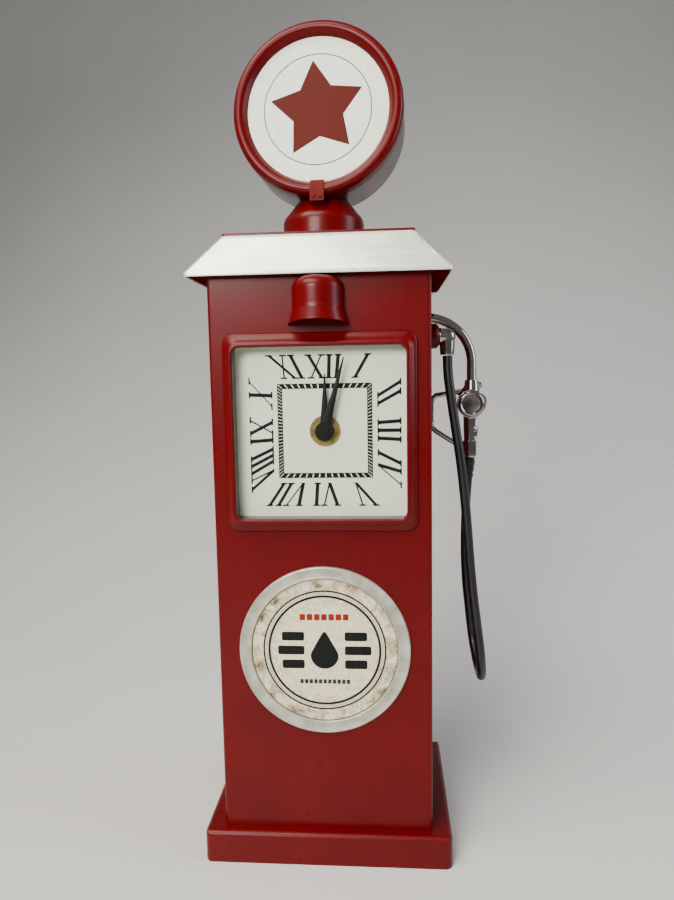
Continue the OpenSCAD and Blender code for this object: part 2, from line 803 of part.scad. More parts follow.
module battery_contacts() color(CHROME) for (s = [-1, 1])
    on_pivot([0, battery_v], battery_depth) {
        translate([s * (battery_l / 2 + 0.2), 0, 0]) cube([0.4, 10, 10], center = true);
        translate([s * (case_w / 2 - case_wall - 0.3), 0, 0])
            cube([0.6, 9, 9], center = true);
        translate([s * (battery_l / 4 + case_w / 4 - case_wall / 2), -4.2, 0])
            cube([case_w / 2 - case_wall - battery_l / 2, 0.6, 9], center = true);
    }

// A tapered hand with a round hub and a counterweight tail
module hand(hub_r, bore, length, root_w, tip_w, tail) {
    linear_extrude(0.4) difference() {
        union() {
            circle(hub_r);
            polygon([[-root_w / 2, 0], [-tip_w / 2, length - 0.6], [0, length], [tip_w / 2, length - 0.6],
                [root_w / 2, 0], [root_w * 0.4, -tail], [-root_w * 0.4, -tail]]);
        }
        circle(bore);
    }
}

module hour_hand() color(BLACK) on_pivot(depth = -1.2) rotate([0, 0, hour_angle]) {
    hand(4, hour_pipe_r, hour_len, 5.4, 2.2, 5);
    ring(2.9, hour_pipe_r, 0.7);
}

module minute_hand() color(BLACK) on_pivot(depth = 0.1) rotate([0, 0, minute_angle]) {
    hand(4.75, minute_pipe_r, minute_len, 5, 1.8, 7);
    ring(2.2, minute_pipe_r, 0.9);
}

module hand_cap() color(BLACK) on_pivot(depth = 1) disc(2.4, 0.8);

// ---- badge ----

module at_badge_posts() {
    for (a = [30, 150, 270]) on_front(0, badge_z) rotate([0, 0, a]) translate([badge_post_at, 0, 0]) children();
}

module badge_rim() color(SILVER) {
    on_front(0, badge_z) difference() {
        union() {
            disc(badge_r, badge_t - 0.8);
            translate([0, 0, badge_t - 0.8 - eps]) cylinder(r1 = badge_r, r2 = badge_r - 0.8, h = 0.8 + eps);
        }
        translate([0, 0, -1]) disc(badge_r - badge_rim_w, 5);
        translate([0, 0, -1]) disc(badge_r - badge_rim_w + 1, 1 + badge_plate_t);
    }
    at_badge_posts() translate([0, 0, -sheet - 1.6]) disc(badge_post_r, sheet + 1.6 + eps);
}

module badge_face() color(CREAM) on_front(0, badge_z)
    disc(badge_r - badge_rim_w + 0.9, badge_plate_t);

module badge_push_nuts() color(STEEL) at_badge_posts()
    translate([0, 0, -sheet - 0.6]) ring(3.5, badge_post_r, 0.6);

// ---- hose, elbow and nozzle ----

module hose_boss() color(RED) on_right(boss_y, boss_z) {
    disc(boss_r, boss_t - 1.4);
    translate([0, 0, boss_t - 1.4 - eps]) cylinder(r1 = boss_r, r2 = boss_r - 1.4, h = 1.4 + eps);
    translate([0, 0, -sheet - clamp_nut_h - 1]) disc(stud_r, sheet + clamp_nut_h + 1 + eps);
}

module hose_elbow() color(CHROME) union() {
    translate([side_x + boss_t, boss_y, boss_z - elbow_bend]) rotate([-90, 0, 0]) rotate([0, 0, -90])
        rotate_extrude(angle = 90) translate([elbow_bend, 0]) circle(elbow_r);
    translate([elbow_x, boss_y, elbow_out_z]) disc(elbow_r, boss_z - elbow_bend - elbow_out_z + eps);
}

// Unit direction of the hose's route at point i
function hose_dir(i) =
    let (a = hose_route[max(i - 1, 0)], b = hose_route[min(i + 1, len(hose_route) - 1)], d = b - a)
    (i == 0 || i == len(hose_route) - 1) ? [0, 0, i == 0 ? -1 : 1] : d / norm(d);

// Side direction of ring i, level and square to the route
function hose_side(i) = [1, 0, 0] - hose_dir(i)[0] * hose_dir(i);

module hose() color(BLACK) {
    n = len(hose_route);
    points = [for (i = [0:n - 1], k = [0:hose_sides - 1])
        let (d = hose_dir(i), u = hose_side(i) / norm(hose_side(i)), v = cross(d, u),
            a = 360 * k / hose_sides)
        [side_x, 0, 0] + hose_route[i] + hose_r * (cos(a) * u + sin(a) * v)];
    sides = [for (i = [0:n - 2], k = [0:hose_sides - 1], half = [0, 1])
        let (a = i * hose_sides + k, b = i * hose_sides + (k + 1) % hose_sides,
            c = b + hose_sides, e = a + hose_sides)
        half == 0 ? [a, b, c] : [a, c, e]];
    ends = [[for (k = [hose_sides - 1:-1:0]) k], [for (k = [0:hose_sides - 1]) (n - 1) * hose_sides + k]];
    polyhedron(points, concat(sides, ends));
}

// Places children in the nozzle's plane
module at_nozzle(x, z) {
    translate([x, nozzle_y, z]) children();
}

module nozzle_spout() color(CHROME) union() {
    translate([side_x - spout_plug, nozzle_y, spout_z]) rotate([0, 90, 0])
        disc(spout_r, spout_plug + 0.5 + eps);
    translate([side_x + 0.5, nozzle_y, spout_z - spout_bend]) rotate([-90, 0, 0]) rotate([0, 0, -90])
        rotate_extrude(angle = 90) translate([spout_bend, 0]) circle(spout_r);
    at_nozzle(spout_x, spout_low) disc(spout_r, spout_z - spout_bend - spout_low + eps);
}

// The nozzle's one-piece casting
module nozzle_casting() {
    half = barrel_t / 2 - 0.1;
    // barrel across the valve, its two ends closed by the caps
    at_nozzle(cap_x, cap_z) rotate([90, 0, 0]) translate([0, 0, -barrel_t / 2]) disc(cap_r + 0.8, barrel_t);
    // shoulder that takes the spout
    at_nozzle(spout_x, cap_z) cylinder(r1 = half, r2 = 4.2, h = spout_low + 1.5 - cap_z);
    // bulge on the outer side, and its lug
    at_nozzle(cap_x + 4.4, cap_z + 1) sphere(half);
    at_nozzle(spout_x + 4.4, cap_z + 10.3) sphere(1.9);
    // waist down to the collar
    translate([collar_x, nozzle_y, collar_z + collar_h]) cylinder(r = 3.6, h = cap_z - collar_z - collar_h);
    at_nozzle(collar_x + 2.2, collar_z + collar_h + 7) sphere(3.4);
}

module nozzle_body() color(CHROME) difference() {
    nozzle_casting();
    at_nozzle(spout_x, spout_low) disc(spout_r, 10);
}

// Dished caps on both ends of the barrel
module nozzle_caps() color(CHROME) at_nozzle(cap_x, cap_z) for (a = [90, -90])
    rotate([a, 0, 0]) translate([0, 0, barrel_t / 2]) difference() {
        union() {
            disc(cap_r, 0.9);
            translate([0, 0, 0.9 - eps]) cylinder(r1 = cap_r, r2 = cap_r - 0.6, h = 0.6 + eps);
        }
        translate([0, 0, 0.7]) cylinder(r1 = cap_r - 2.6, r2 = cap_r - 1.6, h = 1);
    }

// A round bar between two places in the nozzle's plane, with a ball at each end
module guard_bar(a, b, r) {
    d = b - a;
    at_nozzle(a[0], a[1]) {
        rotate([0, atan2(d[0], d[1]), 0]) disc(r, norm(d));
        sphere(r);
    }
    at_nozzle(b[0], b[1]) sphere(r);
}

module nozzle_guard() color(CHROME) difference() {
    union() {
        guard_bar([cap_x - 4, cap_z + 7.5], [guard_x + 2.4, cap_z + 5.4], 1.1);
        guard_bar([guard_x + 2.4, cap_z + 5.4], [guard_x, cap_z + 2.4], 1.15);
        guard_bar([guard_x, cap_z + 2.4], [guard_x, cap_z - 12.5], 1.2);
        guard_bar([guard_x, cap_z - 12.5], [guard_x + 2.4, cap_z - 16], 1.3);
        guard_bar([guard_x + 2.4, cap_z - 16], [collar_x - 3, collar_z + 5], 1.5);
    }
    nozzle_casting();
    at_nozzle(collar_x, collar_z - 1) disc(collar_r, collar_h + 2);
}

module hose_collar() color(CHROME) translate([collar_x, nozzle_y, collar_z]) {
    cylinder(r1 = collar_r - 1.1, r2 = collar_r, h = 1.6);
    translate([0, 0, 1.6 - eps]) disc(collar_r, collar_h - 1.6 + eps);
}

// ---- rear door ----

// Heights of the two hinges
module at_hinges() {
    for (s = [-1, 1]) translate([hinge_x, hinge_y, door_z + s * (door_h / 2 - 22)]) children();
}

// A third of a hinge's barrel; part 0 is the middle, carried by the door
module knuckle(part) {
    third = knuckle_h / 3;
    translate([0, 0, part * third - third / 2 + (part == 0 ? 0.1 : 0)])
        disc(knuckle_r, third - (part == 0 ? 0.2 : 0));
}

module rear_door() color(RED) difference() {
    union() {
        translate([0, column_d / 2, door_z]) rotate([-90, 0, 0]) difference() {
            union() {
                linear_extrude(sheet) rounded(door_w, door_h, 2);
                translate([0, 0, -door_lip]) linear_extrude(door_lip + eps) rounded(pan_w, pan_h, 2);
            }
            translate([0, 0, -door_lip - 1]) linear_extrude(door_lip + 1)
                rounded(pan_w - 2 * sheet, pan_h - 2 * sheet, 1.5);
        }
        at_hinges() {
            knuckle(0);
            translate([0, -knuckle_r - 0.4, -knuckle_h / 6 + 0.1])
                cube([-hinge_x - door_w / 2 + 1, knuckle_r, knuckle_h / 3 - 0.2]);
        }
    }
    at_hinges() translate([0, 0, -knuckle_h]) disc(pin_d / 2 + run_gap, 2 * knuckle_h);
    translate([door_w / 2 - 12, column_d / 2 - 10, door_z]) rotate([-90, 0, 0]) disc(screw_r, 20);
}

module hinge_leaves() color(RED) at_hinges() difference() {
    union() {
        for (part = [-1, 1]) {
            knuckle(part);
            translate([-4, -knuckle_r - 0.4, (part - 0.5) * knuckle_h / 3]) cube([4, knuckle_r, knuckle_h / 3]);
        }
        translate([-7, -knuckle_r - 0.4, -knuckle_h / 2]) cube([4.4, 0.8, knuckle_h]);
    }
    translate([0, 0, -knuckle_h]) disc(pin_d / 2, 2 * knuckle_h);
}

module hinge_pins() color(STEEL) at_hinges() translate([0, 0, -knuckle_h / 2 - 0.8]) {
    disc(pin_d / 2, knuckle_h + 1.6);
    disc(pin_d / 2 + 0.6, 0.8);
}

module door_knob() color(CHROME) translate([door_w / 2 - 12, column_d / 2 + sheet, door_z])
    rotate([-90, 0, 0]) {
        translate([0, 0, -sheet - 2]) disc(screw_r, sheet + 2 + eps);
        disc(3, 2.5);
        translate([0, 0, 2.5 - eps]) cylinder(r1 = 3, r2 = 5, h = 2 + eps);
        translate([0, 0, 4.5 - eps]) disc(5, 2.5);
    }

// Held on the rear wall's inner face, it draws the door's folded lip shut
module catch_magnet() color("#4a4a4c")
    translate([door_w / 2 - door_side + 0.4, column_d / 2 - sheet - 6, door_z - 9]) cube([6, 6, 18]);

plinth();
column_shell();
case_screws();
case_nuts();
canopy_soffit();
canopy_roof();
canopy_top();
neck();
globe_stud();
clamp_nuts();
globe_band();
globe_back();
globe_face();
globe_rim();
globe_tab();
tab_rivets();
lamp_hood();
bezel();
glass();
glass_liner();
bezel_frame();
dial_plate();
movement_case();
movement_lid();
threaded_bush();
bush_washer();
bush_nut();
hour_wheel();
minute_arbor();
motion_wheel();
setting_knob();
centre_wheel();
third_wheel();
seconds_wheel();
intermediate_wheel();
rotor();
stator();
coil();
circuit_board();
battery();
battery_contacts();
hour_hand();
minute_hand();
hand_cap();
badge_rim();
badge_face();
badge_push_nuts();
hose_boss();
hose_elbow();
hose();
nozzle_body();
nozzle_spout();
nozzle_caps();
nozzle_guard();
hose_collar();
rear_door();
hinge_leaves();
hinge_pins();
door_knob();
catch_magnet();
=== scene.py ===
"""Looks of a service station advertising clock: a tabletop fuel pump in painted tin, with a clock in it.

The frame holds the structure and every moving part. This script dresses its nodes and adds what thin tin,
print, castings and hose show close up. Blender is in metres, sizes here are in millimetres unless their
name says otherwise, +Z is up and the dial faces -Y.
"""

import json
import logging
import math
from dataclasses import dataclass, field
from enum import Enum
from typing import Callable, Sequence

import bmesh
import bpy
from mathutils import Matrix, Vector, noise

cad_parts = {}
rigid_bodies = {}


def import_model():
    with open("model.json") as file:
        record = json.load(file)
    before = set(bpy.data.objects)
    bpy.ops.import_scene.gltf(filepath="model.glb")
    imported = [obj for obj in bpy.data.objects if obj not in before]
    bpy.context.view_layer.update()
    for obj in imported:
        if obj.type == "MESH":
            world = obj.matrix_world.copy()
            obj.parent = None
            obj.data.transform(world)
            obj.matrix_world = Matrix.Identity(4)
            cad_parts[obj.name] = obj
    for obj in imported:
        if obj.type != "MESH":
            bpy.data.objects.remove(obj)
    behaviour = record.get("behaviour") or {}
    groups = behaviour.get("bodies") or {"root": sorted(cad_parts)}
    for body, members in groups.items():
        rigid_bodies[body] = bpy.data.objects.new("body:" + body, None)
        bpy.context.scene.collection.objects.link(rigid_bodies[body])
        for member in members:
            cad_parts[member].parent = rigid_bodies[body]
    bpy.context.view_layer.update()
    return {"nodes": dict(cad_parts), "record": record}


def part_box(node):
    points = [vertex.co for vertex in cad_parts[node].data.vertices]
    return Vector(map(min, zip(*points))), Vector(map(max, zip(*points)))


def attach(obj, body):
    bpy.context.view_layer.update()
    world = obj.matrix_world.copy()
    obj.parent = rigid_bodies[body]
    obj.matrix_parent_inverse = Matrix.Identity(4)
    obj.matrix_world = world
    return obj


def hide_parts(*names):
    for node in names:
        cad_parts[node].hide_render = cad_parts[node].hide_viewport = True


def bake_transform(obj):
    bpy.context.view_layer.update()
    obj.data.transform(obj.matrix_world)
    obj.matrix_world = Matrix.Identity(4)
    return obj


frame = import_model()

LOG = logging.getLogger("pump_clock")
MM = 0.001
# Nearly all of a noise texture's values lie between these two
NOISE_LOW, NOISE_HIGH = 0.3, 0.7
DUST = "#9a8a84"
Point = tuple[float, float]


class Body(str, Enum):
    """The CAD bodies that new pieces ride on."""

    ROOT = "root"
    NOZZLE = "nozzle_group"
    HOUR = "hour_group"
    MINUTE = "minute_group"


# --------------------------------------------------------------------------------------------------
# Helpers
# --------------------------------------------------------------------------------------------------


def linear(hex_colour: str) -> tuple[float, float, float, float]:
    """Turns an sRGB hex colour to the linear colour that a shader takes.

    Args:
        hex_colour: Six hex digits after a hash.

    Returns:
        Linear red, green, blue, and alpha 1.
    """
    channels = [int(hex_colour[i : i + 2], 16) / 255 for i in (1, 3, 5)]
    toe, slope, offset, gamma = 0.04045, 12.92, 0.055, 2.4
    red, green, blue = (
        c / slope if c <= toe else ((c + offset) / (1 + offset)) ** gamma for c in channels
    )
    return (red, green, blue, 1.0)


def per_mm(size: float) -> float:
    """Texture scale that makes a pattern's cell this many millimetres across."""
    return 1 / (size * MM)


def arc(centre: Point, radius: float, start: float, end: float, steps: int) -> list[Point]:
    """Points of an arc in a turned profile.

    Args:
        centre: Middle of the arc, (radius, height) in millimetres.
        radius: Radius in millimetres.
        start: First angle in degrees.
        end: Last angle in degrees.
        steps: Number of chords.

    Returns:
        steps + 1 points from the first angle to the last.
    """
    angles = [math.radians(start + (end - start) * i / steps) for i in range(steps + 1)]
    return [(centre[0] + radius * math.cos(a), centre[1] + radius * math.sin(a)) for a in angles]


def deselect() -> None:
    """Leaves object mode with nothing selected."""
    if bpy.context.mode != "OBJECT":
        bpy.ops.object.mode_set(mode="OBJECT")
    bpy.ops.object.select_all(action="DESELECT")


def settle(piece: bpy.types.Object, place: Matrix = Matrix.Identity(4)) -> None:
    """Puts a piece in place and moves that place into its mesh.

    Args:
        piece: A mesh object.
        place: Where its own origin and axes go in the frame.
    """
    deselect()
    piece.matrix_world = place @ piece.matrix_world
    piece.select_set(True)
    bpy.context.view_layer.objects.active = piece
    bpy.ops.object.transform_apply(location=True, rotation=True, scale=True)


def smooth(piece: bpy.types.Object, degrees: float = 35.0) -> None:
    """Shades a piece smooth up to an angle between faces, and points its faces outwards.

    Args:
        piece: A mesh object.
        degrees: Edges sharper than this stay crisp.
    """
    deselect()
    piece.select_set(True)
    bpy.context.view_layer.objects.active = piece
    bpy.ops.object.mode_set(mode="EDIT")
    bpy.ops.mesh.select_all(action="SELECT")
    bpy.ops.mesh.remove_doubles(threshold=0.002 * MM)
    bpy.ops.mesh.normals_make_consistent(inside=False)
    bpy.ops.object.mode_set(mode="OBJECT")
    bpy.ops.object.shade_smooth_by_angle(angle=math.radians(degrees))


def pick_edges(piece: bpy.types.Object, wanted: Callable[[bmesh.types.BMEdge], bool]) -> None:
    """Selects, in edit mode, only the edges that pass a test.

    Args:
        piece: The mesh object being edited.
        wanted: Tells whether an edge is to be selected.
    """
    bpy.ops.mesh.select_all(action="DESELECT")
    mesh = bmesh.from_edit_mesh(piece.data)
    for edge in mesh.edges:
        if wanted(edge):
            edge.select_set(True)
    bmesh.update_edit_mesh(piece.data)


def apply_modifier(piece: bpy.types.Object, kind: str, **settings: object) -> None:
    """Adds a modifier to a piece and applies it.

    Args:
        piece: A mesh object.
        kind: The modifier's type.
        settings: Its settings.
    """
    deselect()
    bpy.context.view_layer.objects.active = piece
    modifier = piece.modifiers.new(kind.lower(), kind)
    for key, value in settings.items():
        setattr(modifier, key, value)
    bpy.ops.object.modifier_apply(modifier=modifier.name)


def turned(name: str, profile: Sequence[Point], segments: int = 96) -> bpy.types.Object:
    """A closed turned shape about Z, made as on a lathe: one ring, extruded and resized along its profile.

    Args:
        name: The piece's name.
        profile: (radius, height) in millimetres. An end at radius 0 is closed to a point.
        segments: Sides of each ring.

    Returns:
        The mesh object, its axis on Z.
    """
    deselect()
    least = 0.004
    rings = [(max(r, least), h) for r, h in profile]
    bpy.ops.mesh.primitive_circle_add(
        vertices=segments, radius=rings[0][0] * MM, fill_type="NOTHING", location=(0, 0, rings[0][1] * MM)
    )
    piece = bpy.context.object
    piece.name = name
    bpy.ops.object.transform_apply(location=True)
    bpy.ops.object.mode_set(mode="EDIT")
    bpy.ops.mesh.select_all(action="SELECT")
    closed = profile[0] == profile[-1]
    for (r0, h0), (r1, h1) in zip(rings, rings[1:]):
        bpy.ops.mesh.extrude_region_move(TRANSFORM_OT_translate={"value": (0, 0, (h1 - h0) * MM)})
        bpy.ops.transform.resize(value=(r1 / r0, r1 / r0, 1), center_override=(0, 0, h1 * MM))
    if not closed:
        for end in (rings[0], rings[-1]):
            if end[0] > least:
                continue
            bpy.ops.mesh.select_all(action="DESELECT")
            mesh = bmesh.from_edit_mesh(piece.data)
            for vertex in mesh.verts:
                near_axis = math.hypot(vertex.co.x, vertex.co.y) < 2 * least * MM
                vertex.select_set(near_axis and abs(vertex.co.z - end[1] * MM) < least * MM)
            mesh.select_flush(True)
            bmesh.update_edit_mesh(piece.data)
            bpy.ops.mesh.merge(type="CENTER")
    bpy.ops.object.mode_set(mode="OBJECT")
    smooth(piece)
    return piece


def framed(name: str, steps: Sequence[tuple[float, float, float, float]]) -> bpy.types.Object:
    """A closed rectangular moulding round Z: one rounded loop, extruded and resized along its profile.

    Args:
        name: The piece's name.
        steps: (width, height, corner radius, level) of each loop in millimetres. The last repeats the first.

    Returns:
        The mesh object, its face towards +Z.
    """
    deselect()
    wide, tall, corner, level = steps[0]
    bpy.ops.mesh.primitive_plane_add(size=1, location=(0, 0, level * MM))
    piece = bpy.context.object
    piece.name = name
    piece.scale = (wide * MM, tall * MM, 1)
    bpy.ops.object.transform_apply(location=True, rotation=False, scale=True)
    bpy.ops.object.mode_set(mode="EDIT")
    bpy.ops.mesh.select_all(action="SELECT")
    bpy.ops.mesh.bevel(offset=corner * MM, segments=6, affect="VERTICES")
    bpy.ops.mesh.select_all(action="SELECT")
    bpy.ops.mesh.delete(type="ONLY_FACE")
    bpy.ops.mesh.select_all(action="SELECT")
    for (w0, t0, c0, l0), (w1, t1, c1, l1) in zip(steps, steps[1:]):
        bpy.ops.mesh.extrude_region_move(TRANSFORM_OT_translate={"value": (0, 0, (l1 - l0) * MM)})
        mesh = bmesh.from_edit_mesh(piece.data)
        for vertex in (v for v in mesh.verts if v.select):
            for axis, (half0, half1) in enumerate(((w0 / 2, w1 / 2), (t0 / 2, t1 / 2))):
                inside = half0 - abs(vertex.co[axis]) / MM
                share = min(inside / c0, 1.0)
                moved = (half1 - share * c1) if inside < c0 else abs(vertex.co[axis]) / MM
                vertex.co[axis] = math.copysign(moved * MM, vertex.co[axis])
        bmesh.update_edit_mesh(piece.data)
    bpy.ops.object.mode_set(mode="OBJECT")
    smooth(piece, 40)
    return piece


def cut_disc(name: str, radius: float, thick: float, sides: int = 96, bore: float = 0.0) -> bpy.types.Object:
    """A thin printed disc or ring about Z, from level 0 up.

    Args:
        name: The piece's name.
        radius: Outer radius in millimetres.
        thick: Thickness in millimetres.
        sides: Sides of its outline.
        bore: Radius of its hole in millimetres, or 0 for none.

    Returns:
        The mesh object.
    """
    if bore:
        ring = [(bore, 0.0), (radius, 0.0), (radius, thick), (bore, thick), (bore, 0.0)]
        return turned(name, ring, sides)
    return turned(name, [(0.0, thick), (radius - 0.02, thick), (radius, 0.0), (0.0, 0.0)], sides)


def empty_sheet(name: str) -> bpy.types.Object:
    """An empty printed sheet in edit mode, ready for its shapes.

    Args:
        name: The piece's name.

    Returns:
        The mesh object.
    """
    deselect()
    bpy.ops.mesh.primitive_plane_add(size=1 * MM)
    sheet = bpy.context.object
    sheet.name = name
    bpy.ops.object.mode_set(mode="EDIT")
    bpy.ops.mesh.select_all(action="SELECT")
    bpy.ops.mesh.delete(type="VERT")
    return sheet


class Recipe:
    """A material being mixed: its nodes, its shader and the piece's own coordinates."""

    def __init__(self, name: str) -> None:
        """Starts a material with a Principled shader.

        Args:
            name: The material's name.
        """
        self.material = bpy.data.materials.new(name)
        self.material.use_nodes = True
        self.tree = self.material.node_tree
        self.shader = self.tree.nodes["Principled BSDF"]
        self.place = self.add("ShaderNodeTexCoord").outputs["Object"]

    def add(
        self, kind: str, inputs: dict[str | int, object] | None = None, **settings: object
    ) -> bpy.types.Node:
        """Adds one node.

        Args:
            kind: The node's type.
            inputs: Values or sockets for its inputs, by name or number.
            settings: Its settings.

        Returns:
            The node.
        """
        node = self.tree.nodes.new(kind)
        for key, value in settings.items():
            setattr(node, key, value)
        self.link(node, inputs or {})
        return node

    def link(self, node: bpy.types.Node, inputs: dict[str | int, object]) -> None:
        """Sets or links a node's inputs.

        Args:
            node: The node.
            inputs: Values or sockets for its inputs, by name or number.
        """
        for key, value in inputs.items():
            if isinstance(value, bpy.types.NodeSocket):
                self.tree.links.new(value, node.inputs[key])
            else:
                node.inputs[key].default_value = value


# --------------------------------------------------------------------------------------------------
# Finishes
# --------------------------------------------------------------------------------------------------


@dataclass(frozen=True)
class Paint:
    """Sprayed enamel or lacquer on tinplate.

    Handling has dulled it in broad patches, and the sprayed film keeps a faint orange peel, which breaks up
    long reflections. Dust dims it in fine specks.
    """

    name: str
    colour: str
    dulled: str
    metallic: float = 0.0
    gloss: float = 0.25
    dull: float = 0.4
    patch_mm: float = 45.0
    peel_mm: float = 1.6
    peel_depth_mm: float = 0.012
    coat: float = 0.25
    coat_roughness: float = 0.12
    specular: float = 0.5
    dust_mm: float = 1.1
    dusting: float = 0.12

    def material(self) -> bpy.types.Material:
        """Mixes the paint.

        Returns:
            The material.
        """
        mix = Recipe(self.name)
        patches = mix.add(
            "ShaderNodeTexNoise",
            {"Vector": mix.place, "Scale": per_mm(self.patch_mm), "Detail": 5.0, "Roughness": 0.6},
        )
        spread = mix.add(
            "ShaderNodeMapRange", {"Value": patches.outputs["Fac"], "From Min": 0.38, "From Max": 0.66}
        )
        specks = mix.add(
            "ShaderNodeTexNoise",
            {"Vector": mix.place, "Scale": per_mm(self.dust_mm), "Detail": 3.0, "Roughness": 0.7},
        )
        dust = mix.add(
            "ShaderNodeMapRange",
            {"Value": specks.outputs["Fac"], "From Min": 0.62, "From Max": 0.78, "To Max": self.dusting},
        )
        tone = mix.add(
            "ShaderNodeMix",
            {0: spread.outputs["Result"], 6: linear(self.colour), 7: linear(self.dulled)},
            data_type="RGBA",
        )
        dusty = mix.add(
            "ShaderNodeMix",
            {0: dust.outputs["Result"], 6: tone.outputs[2], 7: linear(DUST)},
            data_type="RGBA",
        )
        shine = mix.add(
            "ShaderNodeMapRange",
            {
                "Value": patches.outputs["Fac"],
                "From Min": NOISE_LOW,
                "From Max": NOISE_HIGH,
                "To Min": self.gloss,
                "To Max": self.dull,
            },
        )
        peel = mix.add(
            "ShaderNodeTexNoise", {"Vector": mix.place, "Scale": per_mm(self.peel_mm), "Detail": 2.0}
        )
        relief = mix.add(
            "ShaderNodeBump",
            {"Height": peel.outputs["Fac"], "Strength": 0.5, "Distance": self.peel_depth_mm * MM},
        )
        mix.link(
            mix.shader,
            {
                "Base Color": dusty.outputs[2],
                "Metallic": self.metallic,
                "Roughness": shine.outputs["Result"],
                "Specular IOR Level": self.specular,
                "Coat Weight": self.coat,
                "Coat Roughness": self.coat_roughness,
                "Normal": relief.outputs["Normal"],
            },
        )
        return mix.material


@dataclass(frozen=True)
class Metal:
    """Bare, plated or turned metal.

    Fine scratches or casting pits vary its roughness, and a thin film of dirt browns it in patches.
    """

    name: str
    colour: str
    dirt: str
    polished: float = 0.12
    rubbed: float = 0.35
    grain_mm: float = 2.0
    stretch: tuple[float, float, float] = (1.0, 1.0, 1.0)
    relief_mm: float = 0.01
    dirt_mm: float = 9.0
    dirt_from: float = 0.6

    def material(self) -> bpy.types.Material:
        """Mixes the metal.

        Returns:
            The material.
        """
        mix = Recipe(self.name)
        along = mix.add("ShaderNodeMapping", {"Vector": mix.place, "Scale": self.stretch})
        grain = mix.add(
            "ShaderNodeTexNoise",
            {
                "Vector": along.outputs["Vector"],
                "Scale": per_mm(self.grain_mm),
                "Detail": 5.0,
                "Roughness": 0.65,
            },
        )
        film = mix.add(
            "ShaderNodeTexNoise",
            {"Vector": mix.place, "Scale": per_mm(self.dirt_mm), "Detail": 6.0, "Roughness": 0.7},
        )
        grime = mix.add(
            "ShaderNodeMapRange",
            {
                "Value": film.outputs["Fac"],
                "From Min": self.dirt_from - 0.12,
                "From Max": self.dirt_from + 0.15,
            },
        )
        tone = mix.add(
            "ShaderNodeMix",
            {0: grime.outputs["Result"], 6: linear(self.colour), 7: linear(self.dirt)},
            data_type="RGBA",
        )
        rough = mix.add(
            "ShaderNodeMapRange",
            {
                "Value": grain.outputs["Fac"],
                "From Min": NOISE_LOW,
                "From Max": NOISE_HIGH,
                "To Min": self.polished,
                "To Max": self.rubbed,
            },
        )
        relief = mix.add(
            "ShaderNodeBump",
            {"Height": grain.outputs["Fac"], "Strength": 0.4, "Distance": self.relief_mm * MM},
        )
        mix.link(
            mix.shader,
            {
                "Base Color": tone.outputs[2],
                "Metallic": 1.0,
                "Roughness": rough.outputs["Result"],
                "Normal": relief.outputs["Normal"],
            },
        )
        return mix.material


@dataclass(frozen=True)
class Print:
    """Printed tin or card: a pale ground with the foxing, stains and rubbed patches of age.

    Where clean_mm is set, the stains fade out within that distance of clean_at.
    """

    name: str
    ground: str
    mottle: str
    stain: str
    mottle_mm: float = 2.2
    stain_mm: float = 9.0
    stain_from: float = 0.6
    stain_to: float = 0.8
    roughness: float = 0.45
    metallic: float = 0.0
    specular: float = 0.4
    relief_mm: float = 0.01
    clean_mm: float = 0.0
    clean_at: tuple[float, float, float] = (0.0, -42.0, 114.7)
    clean_fade_mm: tuple[float, float] = (6, 9)
    clean_least: float = 0.08

    def material(self) -> bpy.types.Material:
        """Mixes the printed ground.

        Returns:
            The material.
        """
        mix = Recipe(self.name)
        fine = mix.add(
            "ShaderNodeTexNoise",
            {"Vector": mix.place, "Scale": per_mm(self.mottle_mm), "Detail": 6.0, "Roughness": 0.75},
        )
        mottled = mix.add(
            "ShaderNodeMapRange", {"Value": fine.outputs["Fac"], "From Min": 0.42, "From Max": 0.72}
        )
        broad = mix.add(
            "ShaderNodeTexNoise",
            {
                "Vector": mix.place,
                "Scale": per_mm(self.stain_mm),
                "Detail": 8.0,
                "Roughness": 0.72,
                "Distortion": 0.6,
            },
        )
        stained = mix.add(
            "ShaderNodeMapRange",
            {"Value": broad.outputs["Fac"], "From Min": self.stain_from, "From Max": self.stain_to},
        )
        tone = mix.add(
            "ShaderNodeMix",
            {0: mottled.outputs["Result"], 6: linear(self.ground), 7: linear(self.mottle)},
            data_type="RGBA",
        )
        cover = stained.outputs["Result"]
        if self.clean_mm:
            middle = tuple(c * MM for c in self.clean_at)
            inner, outer = self.clean_fade_mm
            apart = mix.add("ShaderNodeVectorMath", {0: mix.place, 1: middle}, operation="DISTANCE")
            edge = mix.add(
                "ShaderNodeMapRange",
                {
                    "Value": apart.outputs["Value"],
                    "From Min": (self.clean_mm - inner) * MM,
                    "From Max": (self.clean_mm + outer) * MM,
                    "To Min": self.clean_least,
                },
            )
            cover = mix.add(
                "ShaderNodeMath", {0: cover, 1: edge.outputs["Result"]}, operation="MULTIPLY"
            ).outputs["Value"]
        aged = mix.add(
            "ShaderNodeMix",
            {0: cover, 6: tone.outputs[2], 7: linear(self.stain)},
            data_type="RGBA",
        )
        relief = mix.add(
            "ShaderNodeBump",
            {"Height": fine.outputs["Fac"], "Strength": 0.3, "Distance": self.relief_mm * MM},
        )
        mix.link(
            mix.shader,
            {
                "Base Color": aged.outputs[2],
                "Metallic": self.metallic,
                "Roughness": self.roughness,
                "Specular IOR Level": self.specular,
                "Normal": relief.outputs["Normal"],
            },
        )
        return mix.material


